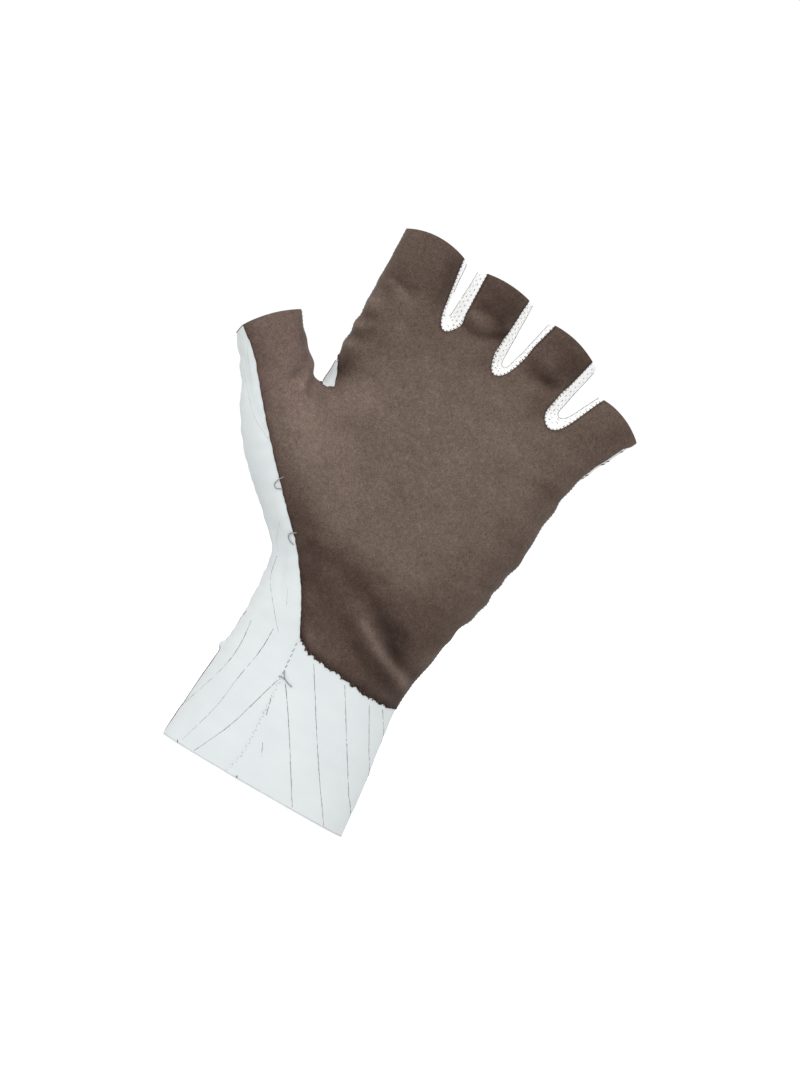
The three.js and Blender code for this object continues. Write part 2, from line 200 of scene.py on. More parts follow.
def limbColumns(rows, xs, zs):
    rows = np.array(rows, float)
    t = np.linspace(0, len(rows) - 1, 260)
    line = rowsAt(rows, t)
    tail = line[-1] + np.outer(np.linspace(0.5, 8, 16), (line[-1] - line[-2]) / math.hypot(
        line[-1, 0] - line[-2, 0], line[-1, 2] - line[-2, 2]))
    line = np.vstack([line, tail])
    flat = line[:, (0, 2)]
    along = np.gradient(flat, axis=0)
    along /= np.linalg.norm(along, axis=1)[:, None]
    run = runAlong(flat)
    x, z = np.meshgrid(xs, zs, indexing="ij")
    points = np.stack([x.ravel(), z.ravel()], -1)
    near = nearestSpot(points, flat)[1]
    offset = points - flat[near]
    ahead = (offset * along[near]).sum(1)
    place = np.clip(run[near] + ahead, 0, run[-1])
    across = np.stack([along[near, 1], -along[near, 0]], -1)
    u = (offset * across).sum(1)
    y, half, palm, back = (np.interp(place, run, line[:, k]) for k in (1, 3, 4, 5))
    over = np.maximum(-(run[near] + ahead), run[near] + ahead - run[-1])
    power = np.full_like(u, cloth["squareness"])
    return np.stack([u, y, half, palm, back, power, over], -1).reshape(*x.shape, 7)


def tubeField(c, y):
    # about the distance to a tube, negative inside
    v = y - c[..., 1]
    depth = np.where(v < 0, c[..., 3], c[..., 4])
    power = c[..., 5]
    reach = (np.abs(c[..., 0] / c[..., 2]) ** power + np.abs(v / depth) ** power) ** (1 / power)
    distance = np.hypot(c[..., 0], v) * (1 - 1 / np.maximum(reach, 1e-3))
    return np.maximum(distance, c[..., 6])


def smoothMin(a, b, width):
    near = np.maximum(width - np.abs(a - b), 0) / width
    return np.minimum(a, b) - near * near * width / 4


def gloveField(columns, y):
    trunk = tubeField(columns[0], y)
    thumb = tubeField(columns[1], y)
    share = np.minimum((y / cloth["blendDepth"]) ** 2, 1)
    blend = cloth["thumbBlend"] + (cloth["palmBlend"] - cloth["thumbBlend"]) * share
    body = smoothMin(trunk, thumb, blend)
    fingers = tubeField(columns[2], y)
    for column in columns[3:]:
        fingers = np.minimum(fingers, tubeField(column, y))
    return smoothMin(body, fingers, cloth["fingerBlend"])


step = cloth["step"]
xs = np.arange(-95, 62, step)
ys = np.arange(-27, 28, step)
zs = np.arange(-5, 206, step)
maps = [bodyColumns(xs, zs), limbColumns(thumbRows, xs, zs)]
maps += [limbColumns(rows, xs, zs) for rows in fingerRows.values()]
maps = np.stack(maps)
print("sections mapped", maps.shape)


def fieldAt(points):
    gx = np.clip((points[:, 0] - xs[0]) / step, 0, len(xs) - 1.001)
    gz = np.clip((points[:, 2] - zs[0]) / step, 0, len(zs) - 1.001)
    i, k = gx.astype(int), gz.astype(int)
    fx, fz = (gx - i)[:, None], (gz - k)[:, None]
    columns = []
    for tube in maps:
        low = tube[i, k] * (1 - fx) + tube[i + 1, k] * fx
        high = tube[i, k + 1] * (1 - fx) + tube[i + 1, k + 1] * fx
        columns.append(low * (1 - fz) + high * fz)
    return gloveField(columns, points[:, 1])


def slopeAt(points):
    gap = cloth["slopeGap"]
    slope = np.empty_like(points)
    for axis in range(3):
        move = np.zeros(3)
        move[axis] = gap
        slope[:, axis] = (fieldAt(points + move) - fieldAt(points - move)) / (2 * gap)
    return slope


def settle(points, rounds):
    # moves points onto the glove's surface
    for turn in range(rounds):
        slope = slopeAt(points)
        points = points - slope * (fieldAt(points) / np.maximum((slope ** 2).sum(1), 0.05))[:, None]
    return points


def netSurface(values):
    # one vertex in every cell that the surface crosses, one quad round every edge that it crosses
    inside = values < 0
    cells = np.array(values.shape) - 1
    total = int(cells.prod())
    sums = np.zeros((total, 3))
    counts = np.zeros(total)
    quads = []
    for axis in range(3):
        other = [k for k in range(3) if k != axis]
        first = [slice(None)] * 3
        second = [slice(None)] * 3
        first[axis] = slice(0, -1)
        second[axis] = slice(1, None)
        a, b = inside[tuple(first)], inside[tuple(second)]
        edge = np.argwhere(a != b)
        edge = edge[(edge[:, other[0]] > 0) & (edge[:, other[1]] > 0)]
        edge = edge[(edge[:, other[0]] < cells[other[0]]) & (edge[:, other[1]] < cells[other[1]])]
        beyond = edge.copy()
        beyond[:, axis] += 1
        va, vb = values[tuple(edge.T)], values[tuple(beyond.T)]
        place = edge.astype(float)
        place[:, axis] += va / (va - vb)
        ring = []
        for du, dv in ((0, 0), (1, 0), (1, 1), (0, 1)):
            cell = edge.copy()
            cell[:, other[0]] -= du
            cell[:, other[1]] -= dv
            flat = np.ravel_multi_index(tuple(cell.T), tuple(cells))
            ring.append(flat)
            counts += np.bincount(flat, minlength=total)
            for k in range(3):
                sums[:, k] += np.bincount(flat, weights=place[:, k], minlength=total)
        ring = np.stack(ring, 1)
        flip = (va < 0) == (axis == 1)
        ring[flip] = ring[flip][:, ::-1]
        quads.append(ring)
    used = np.flatnonzero(counts)
    index = np.full(total, -1)
    index[used] = np.arange(len(used))
    corners = sums[used] / counts[used][:, None]
    points = corners * step + np.array([xs[0], ys[0], zs[0]])
    quads = index[np.vstack(quads)]
    return points, np.vstack([quads[:, (0, 1, 2)], quads[:, (0, 2, 3)]])


snapShare = 0.28  # of an edge: a corner that is closer to a cut moves onto it


def splitAlong(points, tris, field):
    # cuts the triangles where the field is zero; corners close to the cut are moved onto it first
    value = field(points)
    value[np.abs(value) < 1e-5] = 0
    edges = np.unique(np.sort(edgesOf(tris), axis=1), axis=0)
    a, b = edges[value[edges[:, 0]] * value[edges[:, 1]] < 0].T
    share = value[a] / (value[a] - value[b])
    who = np.concatenate([a, b])
    far = np.concatenate([b, a])
    part = np.concatenate([share, 1 - share])
    near = part < snapShare
    who, far, part = who[near], far[near], part[near]
    order = np.argsort(-part)
    who, far, part = who[order], far[order], part[order]
    moved = points.copy()
    moved[who] = points[who] + (points[far] - points[who]) * part[:, None]
    points = moved
    value[who] = 0
    sign = np.sign(value).astype(int)
    cut = (sign[tris].min(1) < 0) & (sign[tris].max(1) > 0)
    whole, torn = tris[~cut], tris[cut]
    edges = np.unique(np.sort(edgesOf(torn), axis=1), axis=0)
    edges = edges[value[edges[:, 0]] * value[edges[:, 1]] < 0]
    a, b = edges.T
    share = (value[a] / (value[a] - value[b]))[:, None]
    size = len(points)
    keys = a.astype(np.int64) * size + b
    points = np.vstack([points, points[a] * (1 - share) + points[b] * share])

    def crossing(p, q):
        low, high = np.minimum(p, q).astype(np.int64), np.maximum(p, q).astype(np.int64)
        return size + np.searchsorted(keys, low * size + high)

    def turned(some, isFirst):
        turn = isFirst.argmax(1)
        return np.stack([some[np.arange(len(some)), (turn + k) % 3] for k in range(3)], 1)

    made = [whole]
    zero = (sign[torn] == 0).sum(1) == 1
    # one corner on the cut
    some = torn[zero]
    some = turned(some, sign[some] == 0)
    middle = crossing(some[:, 1], some[:, 2])
    made += [np.stack([some[:, 0], some[:, 1], middle], 1), np.stack([some[:, 0], middle, some[:, 2]], 1)]
    # one corner alone on its side
    some = torn[~zero]
    alone = np.where((sign[some] > 0).sum(1) == 1, 1, -1)
    some = turned(some, sign[some] == alone[:, None])
    left, right = crossing(some[:, 0], some[:, 1]), crossing(some[:, 0], some[:, 2])
    made += [
        np.stack([some[:, 0], left, right], 1),
        np.stack([left, some[:, 1], some[:, 2]], 1),
        np.stack([left, some[:, 2], right], 1)]
    return points, np.vstack(made)


# Fields for the cuts: signed distance to an outline, or to a seam line

def smoothLine(points, count):
    t = np.linspace(0, len(points) - 1, count)
    return rowsAt(np.array(points, float), t)


def bezier(a, b, c, d, count):
    t = np.linspace(0, 1, count)[:, None]
    return a * (1 - t) ** 3 + 3 * b * t * (1 - t) ** 2 + 3 * c * t * t * (1 - t) + d * t ** 3


def webEdge(web):
    # the palm's edge round a gap: straight down to the roots, round between them
    hemLeft, rootLeft, low, rootRight, hemRight = (np.array(p, float) for p in web)
    sides = []
    for hem, root in ((hemLeft, rootLeft), (hemRight, rootRight)):
        down = (root - hem) / np.linalg.norm(root - hem)
        beside = low + np.array([0.5 * (root[0] - low[0]), 0])
        sides.append((root + down * 0.45 * (root[1] - low[1]), beside))
    (into, left), (out, right) = sides
    first, second = bezier(rootLeft, into, left, low, 14), bezier(low, right, out, rootRight, 14)
    return np.vstack([hemLeft, first, second[1:], hemRight])


def pastHem(root, hem, top=215):
    # a web's cut goes on past the hems, opening a little less
    reach = (top - hem[1]) / (hem[1] - root[1])
    return [hem[0] + reach * 0.2 * (hem[0] - root[0]), top]


def toLine(points, line, closed=False):
    # distance to a line of (x, z) points, the place along it, and on which side
    line = np.array(line, float)
    if closed:
        line = np.vstack([line, line[:1]])
    start, run = line[:-1], np.diff(line, axis=0)
    length = np.linalg.norm(run, axis=1)
    before = runAlong(line)[:-1]
    best = np.full(len(points), 1e9)
    place = np.zeros(len(points))
    side = np.zeros(len(points))
    for a, d, size, done in zip(start, run, length, before):
        off = points - a
        t = np.clip((off @ d) / (size * size), 0, 1)
        gap = np.linalg.norm(off - t[:, None] * d, axis=1)
        near = gap < best
        best[near] = gap[near]
        place[near] = done + t[near] * size
        side[near] = np.sign(d[0] * off[near, 1] - d[1] * off[near, 0])
    return best, place, side


def insideOutline(points, outline):
    # negative inside
    outline = np.array(outline, float)
    gap = toLine(points, outline, True)[0]
    inside = np.zeros(len(points), bool)
    a, b = outline, np.roll(outline, -1, axis=0)
    for (ax, az), (bx, bz) in zip(a, b):
        if az == bz:
            continue
        spans = (points[:, 1] >= min(az, bz)) & (points[:, 1] < max(az, bz))
        inside ^= spans & (points[:, 0] < ax + (points[:, 1] - az) * (bx - ax) / (bz - az))
    return np.where(inside, -gap, gap)


def hemOutline(arc):
    # what is cut off past a hem: an arc, and a box beyond it
    left, right = np.array(arc[:2], float), np.array(arc[2:4], float)
    along = (right - left) / np.linalg.norm(right - left)
    up = np.array([-along[1], along[0]])
    t = np.linspace(0, 1, 15)[:, None]
    crest = (left + right) / 2 + up * 2 * arc[4]
    curve = left * (1 - t) ** 2 + 2 * crest * t * (1 - t) + right * t * t
    spare, beyond = 1.2, 22
    before, after = [left - along * spare], right + along * spare
    if arc[0] < -80:
        # the strip round the thumb's outer side ends in a round corner
        before = np.array([(-88, 129), (-85.7, 131.4), (-85.2, 133.2), (-84.6, 134.6)])
        curve = curve[2:]
    return np.vstack([before, curve, after, after + up * beyond, before[0] + up * beyond])


palmOutline = np.vstack([
    smoothLine(lowEdge, 40), smoothLine(thumbSide, 60)[1:], (-91, 141), (-77, 161), (-66.5, 153.5),
    thumbNotch, (-55, 156), (-55, 215), (68, 215), (68, 160), (50, 130)])
webOutlines = {
    name: np.vstack([pastHem(web[1], web[0]), webEdge(web), pastHem(web[3], web[4])])
    for name, web in webs.items()}
hemOutlines = {name: hemOutline(arc) for name, arc in hemArcs.items()}
seamLine = smoothLine(cuffSeam, 40)


def palmField(p):
    # the low edge is cut raggedly, and the thumb's side a little
    x = p[:, 0]
    ragged = 0.36 * np.cos(x * 1.25 + 1.5 * np.cos(x * 0.43)) + 0.2 * np.cos(x * 2.7 + 1)
    low = smoothStep(56, 53, p[:, 2]) * smoothStep(-12, -8, x)
    frayed = 0.07 * np.cos(p[:, 2] * 2.3 + 1.6 * np.cos(p[:, 2] * 0.6))
    return insideOutline(p[:, (0, 2)], palmOutline) + ragged * low + frayed * smoothStep(-8, -14, x)


def sideField(p):
    line = np.array(sideSeam, float)
    depth = np.interp(p[:, 0], line[:, 0], line[:, 1])
    # beside the little finger the seam comes forward, so a little white shows
    depth -= 5.4 * smoothStep(38, 42, p[:, 0]) * between(145, 152.5, 167, 171, p[:, 2])
    return p[:, 1] - depth


def seamX(z):
    return np.interp(z, seamLine[::-1, 1], seamLine[::-1, 0])


def cuffField(p):
    return p[:, 0] - seamX(p[:, 2])


def outlineField(outline):
    return lambda p: insideOutline(p[:, (0, 2)], outline)


def openShell(shell, faces):
    # the cuff's hem and the five others are cut off: each field is positive where the cloth stays
    for field in [lambda p: p[:, 2]] + [outlineField(outline) for outline in hemOutlines.values()]:
        shell, faces = splitAlong(shell, faces, field)
        faces = faces[field(shell[faces].mean(1)) > 0]
    return shell, faces


def panelNames(middle):
    front = sideField(middle) < 0
    onPalm = front & (palmField(middle) < 0)
    names = np.where(onPalm, "palm", "back").astype("U24")
    cuffTop, cuffLeft = 54, -13
    onCuff = front & ~onPalm & (middle[:, 2] < cuffTop) & (middle[:, 0] > cuffLeft)
    names[onCuff & (cuffField(middle) > 0)] = "cuffFront"
    for name, outline in webOutlines.items():
        names[insideOutline(middle[:, (0, 2)], outline) < 0] = "meshStrip" + name
    return names


shell, faces = netSurface(np.stack([gloveField(maps, y) for y in ys], 1))
shell = settle(shell, 2)
print("outer surface", len(shell), len(faces))
shell, faces = openShell(shell, faces)
webFields = [outlineField(outline) for outline in webOutlines.values()]
for field in [sideField, palmField] + webFields + [cuffField]:
    shell, faces = splitAlong(shell, faces, field)
panelOf = panelNames(shell[faces].mean(1))
shell = settle(shell, 1)
slope = slopeAt(shell)
normal = slope / np.maximum(np.linalg.norm(slope, axis=1), 1e-6)[:, None]
print("cut into panels", {str(n): int((panelOf == n).sum()) for n in np.unique(panelOf)})


# Folds and unevenness of the worn cloth

palmFolds = [
    # from x, z to x, z, lift, width
    (-42, 99, -12, 66, -1.5, 6), (-62, 124, -55, 136, -1.4, 3), (-20, 176, -3, 174.5, -1.1, 2.6),
    (9, 177, 24, 173, -1.2, 2.8),
]
heelFolds = [
    # one crest between two valleys on the heel of the palm: line, lift, width
    ([(-6, 73), (3, 70), (9, 66.4), (15.5, 62.5), (27, 57.4)], 1.9, 2.5),
    ([(-6, 81), (6, 75.5), (14, 70.4), (18.5, 66), (25, 62.4), (33, 61)], -1.9, 3.0),
    ([(9, 73.5), (14, 70.4), (18, 66), (24, 62.4)], -0.8, 1.6),
    ([(-12, 67), (2, 64), (10, 60), (20, 55.5), (30, 51)], -1.5, 2.6),
]


def swell(t):
    # along a fold: nearly half its height at the ends, full in the middle
    return np.sin(np.pi * (0.15 + 0.7 * t))


def foldLift(p, folds):
    lift = np.zeros(len(p))
    for x0, z0, x1, z1, height, width in folds:
        dx, dz = x1 - x0, z1 - z0
        t = np.clip(((p[:, 0] - x0) * dx + (p[:, 2] - z0) * dz) / (dx * dx + dz * dz), 0, 1)
        off = np.hypot(p[:, 0] - x0 - t * dx, p[:, 2] - z0 - t * dz)
        lift += height * swell(t) * bell(off, width)
    return lift


def curvedLift(p, folds):
    lift = np.zeros(len(p))
    for line, height, width in folds:
        line = smoothLine(line, 24)
        gap, along, side = toLine(p[:, (0, 2)], line)
        lift += height * swell(along / runAlong(line)[-1]) * bell(gap, width)
    return lift


def ripples(p, rows):
    # smooth seeded unevenness; each row: height, about the wave length in mm, number of waves, seed
    total = np.zeros(len(p))
    for height, length, count, seed in rows:
        random = np.random.default_rng(seed)
        for k in range(count):
            way = random.normal(size=3)
            way *= 2 * np.pi / (length * random.uniform(0.75, 1.4)) / np.linalg.norm(way)
            total += height / math.sqrt(count) * np.cos(p @ way + random.uniform(0, 2 * np.pi))
    return total


whiteFolds = [
    # creases of the white cloth on the palm's side
    (-83, 133, -70, 118, -0.5, 1.2), (-70, 118, -55, 107, -0.4, 1.3), (-47, 96, -36, 84, 0.5, 2.2),
    (-33, 78, -25, 62, -0.4, 1.4), (-30, 56, -31, 34, 0.35, 2.4), (-22, 52, -26, 14, -0.3, 2.2),
    (2, 40, 18, 8, 0.3, 4.5), (-9, 24, -5, 2, -0.4, 1.4), (24, 42, 31, 20, -0.3, 3.2),
]
smallFolds = [
    # finer folds and dents of the palm cloth
    (-8, 63, 4, 57, -0.3, 2.6), (2, 56, 20, 51, 0.35, 1.8),
    (-53, 149, -46, 152, 0.55, 1.5), (-52, 158, -44, 160, 0.5, 1.4), (-51.5, 166.5, -44, 169, 0.5, 1.5),
    (-52, 154, -45, 156, -0.6, 1.4), (-51.5, 161.5, -44, 164, -0.55, 1.3), (-50, 173, -40, 171.5, -0.5, 1.5),
    (-49, 176.5, -40, 175, 0.4, 1.5), (-52, 144.5, -44, 147, -0.6, 1.8),
    (-46, 176, -38, 177.5, -0.45, 1.7), (-44, 172, -34, 174, 0.35, 1.8),
    (-18, 175.5, -6, 174, -0.7, 1.7), (-18, 180.5, -9, 179.5, 0.6, 1.8), (-6, 182, -2, 178, -0.6, 1.6),
    (13, 176, 21, 173.5, -0.9, 2.3), (10, 182, 16, 183, 0.4, 2.2), (37, 166, 44, 162, -0.4, 1.8),
    (-56.2, 137.5, -55, 128, 0.6, 1.5), (-59.5, 139, -59.3, 131, -0.5, 1.6),
    (-53.2, 135, -52.4, 129, -0.5, 1.5), (-47, 104, -34, 92, 0.45, 2.6), (-39, 90, -26, 77, -0.4, 2.2),
    (39, 120, 42, 112, 0.5, 2.4), (38, 104, 41, 98, -0.5, 2.2), (36, 92, 38, 86, 0.5, 2.2),
    (33, 78, 36, 72, -0.6, 2.2), (40, 136, 43, 128, -0.4, 2.6),
]
backFolds = [
    # four soft rises first, then creases of the back's cloth
    (-37, 150, -36, 147, 0.9, 8), (-12, 154, -11, 151, 1.0, 8), (12, 149, 13, 146, 0.9, 8),
    (33, 141, 33, 138, 0.8, 7), (-24, 150, -24, 130, -0.5, 5), (1, 150, 0, 128, -0.5, 5),
    (23, 143, 21, 124, -0.5, 5), (-52, 124, -34, 108, 0.6, 3), (-50, 118, -36, 102, -0.5, 2.6),
    (-30, 70, 6, 62, -0.35, 3), (-24, 58, 24, 60, 0.3, 3.4), (8, 66, 28, 70, -0.35, 2.6),
    (-62, 126, -52, 132, -0.4, 2.2), (-47, 176, -33, 178, -0.35, 1.8), (-18, 178, -4, 179, -0.35, 1.8),
    (9, 174, 22, 170, -0.35, 1.8), (36, 165, 47, 160, -0.3, 1.8),
]
outlineDents = [
    # where the thumb's outline is drawn in: x, lift, z, reach
    (-52.6, -1.5, 136, 3), (-59.3, -1.35, 142.3, 4.2), (-64.5, -0.9, 148, 3.5), (-85.8, -0.8, 133.6, 3.6),
    (-79.8, -0.6, 127.4, 2.2), (-74.3, -0.9, 119.8, 4.5),
]
unevenness = [(0.17, 19, 9, 3), (0.07, 7.5, 12, 5)]  # rows for ripples
edgeWaves = {
    # height, turn for each mm of z, wobble, its length, slant for each mm of y, start
    "right": [(0.24, 0.66, 1.3, 9, 0, 0), (0.17, 0.31, 0, 1, 1 / 6, 2)],
    "left": [(0.13, 0.78, 1.5, 6, 0.2, 0), (0.06, 1.9, 2, 4, 0, 0)],
}
puckers = {"height": 0.16, "reach": 3.5, "length": 6.3}  # where the thumb's strip is sewn to the palm
pinch = {"x": -34.6, "z": 37.2, "height": 1.5, "spread": 1.3}  # of cloth on the cuff's left edge
notchBump = {"x": -48.6, "z": 135.5, "height": 0.7, "reach": 3}  # the white cloth in the notch
drawnIn = {
    "littleFinger": (145.5, 0.9, 4.5),  # z, depth, reach: by the white band, just below it
    "seam": (0.3, 0.9),  # depth, reach: by the cuff's seam
}


def waves(rows, y, z):
    return sum(height * np.cos(z * rate + wobble * np.cos(z / length) + y * slant + start)
               for height, rate, wobble, length, slant, start in rows)


def clothLift(p, normal):
    x, y, z = p.T
    flat = p[:, (0, 2)]
    front = smoothStep(-0.1, 0.5, -normal[:, 1])  # 1 on the palm's side
    brown = smoothStep(1.0, -1.5, palmField(p)) * smoothStep(3, -1, sideField(p))
    lift = (foldLift(p, palmFolds) + curvedLift(p, heelFolds)) * front
    lift += foldLift(p, smallFolds) * smoothStep(-0.5, 0.2, -normal[:, 1]) * brown
    lift += foldLift(p, whiteFolds) * front * (1 - brown)
    lift += foldLift(p, backFolds) * smoothStep(0.0, 0.6, normal[:, 1])
    lift += ripples(p, unevenness)
    # the right edge is gently wavy, the white left edge more finely
    right = smoothStep(27, 36, x) * between(60, 72, 150, 166, z)
    left = smoothStep(-25, -31, x) * between(30, 44, 124, 134, z) * smoothStep(12, 5, np.abs(y + 1))
    lift += right * waves(edgeWaves["right"], y, z) + left * waves(edgeWaves["left"], y, z)
    gap, along, side = toLine(flat, smoothLine(thumbSide, 60))
    turn = along * 2 * np.pi / puckers["length"] + np.cos(along / 7)
    lift += puckers["height"] * front * np.exp(-gap / puckers["reach"]) * np.cos(turn)
    away = (x - pinch["x"]) ** 2 + (z - pinch["z"]) ** 2 + (y / 2) ** 2
    lift += pinch["height"] * np.exp(-away / pinch["spread"])
    for place, height, row, reach in outlineDents:
        outward = normal[:, 0] if place > -65 else -normal[:, 0]
        lift += height * bell(np.hypot(x - place, z - row), reach) * smoothStep(-0.4, 0.2, outward)
    away = np.hypot(x - notchBump["x"], z - notchBump["z"])
    lift += notchBump["height"] * bell(away, notchBump["reach"]) * smoothStep(0, 0.5, -normal[:, 0])
    row, depth, reach = drawnIn["littleFinger"]
    lift -= depth * smoothStep(35, 42, x) * bell(z - row, reach)
    depth, reach = drawnIn["seam"]
    lift -= depth * front * bell(toLine(flat, seamLine)[0], reach) * (1 - brown)
    return lift


shell = shell + normal * clothLift(shell, normal)[:, None]


def vertexNormals(points, tris):
    a, b, c = (points[tris[:, k]] for k in range(3))
    flat = np.cross(b - a, c - a)
    out = np.zeros_like(points)
    for k in range(3):
        for axis in range(3):
            out[:, axis] += np.bincount(tris[:, k], weights=flat[:, axis], minlength=len(points))
    return out / np.maximum(np.linalg.norm(out, axis=1), 1e-9)[:, None]


normal = vertexNormals(shell, faces)


def makeMesh(name, points, polygons, attributes=None):
    mesh = bpy.data.meshes.new(name)
    mesh.from_pydata((points * mm).tolist(), [], polygons)
    for key, values in (attributes or {}).items():
        layer = mesh.attributes.new(key, "FLOAT_COLOR", "POINT")
        layer.data.foreach_set("color", np.asarray(values, np.float32).ravel())
    mesh.polygons.foreach_set("use_smooth", [True] * len(mesh.polygons))
    mesh.validate()
    mesh.update()
    piece = bpy.data.objects.new(name, mesh)
    bpy.context.scene.collection.objects.link(piece)
    return piece


def ownCorners(tris):
    # the corners that these triangles use, and the triangles numbered by them
    used, index = np.unique(tris, return_inverse=True)
    return used, index.reshape(-1, 3)


def clothPiece(name, points, normals, tris, raised, thickness, attributes=None):
    # a panel with its own thickness: outer face, inner face and the cut rim between them
    used, tris = ownCorners(tris)
    outer = points[used] + normals[used] * raised
    inner = outer - normals[used] * thickness
    edges = edgesOf(tris)
    size = len(used)
    keys = edges.min(1).astype(np.int64) * size + edges.max(1)
    order, counts = np.unique(keys, return_counts=True)
    rim = edges[counts[np.searchsorted(order, keys)] == 1]
    wall = np.stack([rim[:, 1], rim[:, 0], rim[:, 0] + size, rim[:, 1] + size], 1)
    polygons = tris.tolist() + (tris[:, ::-1] + size).tolist() + wall.tolist()
    both = {key: np.concatenate([v[used], v[used]]) for key, v in (attributes or {}).items()}
    piece = makeMesh(name, np.vstack([outer, inner]), polygons, both)
    piece.data.set_sharp_from_angle(angle=math.radians(48))  # the cut rims stay crisp
    return piece


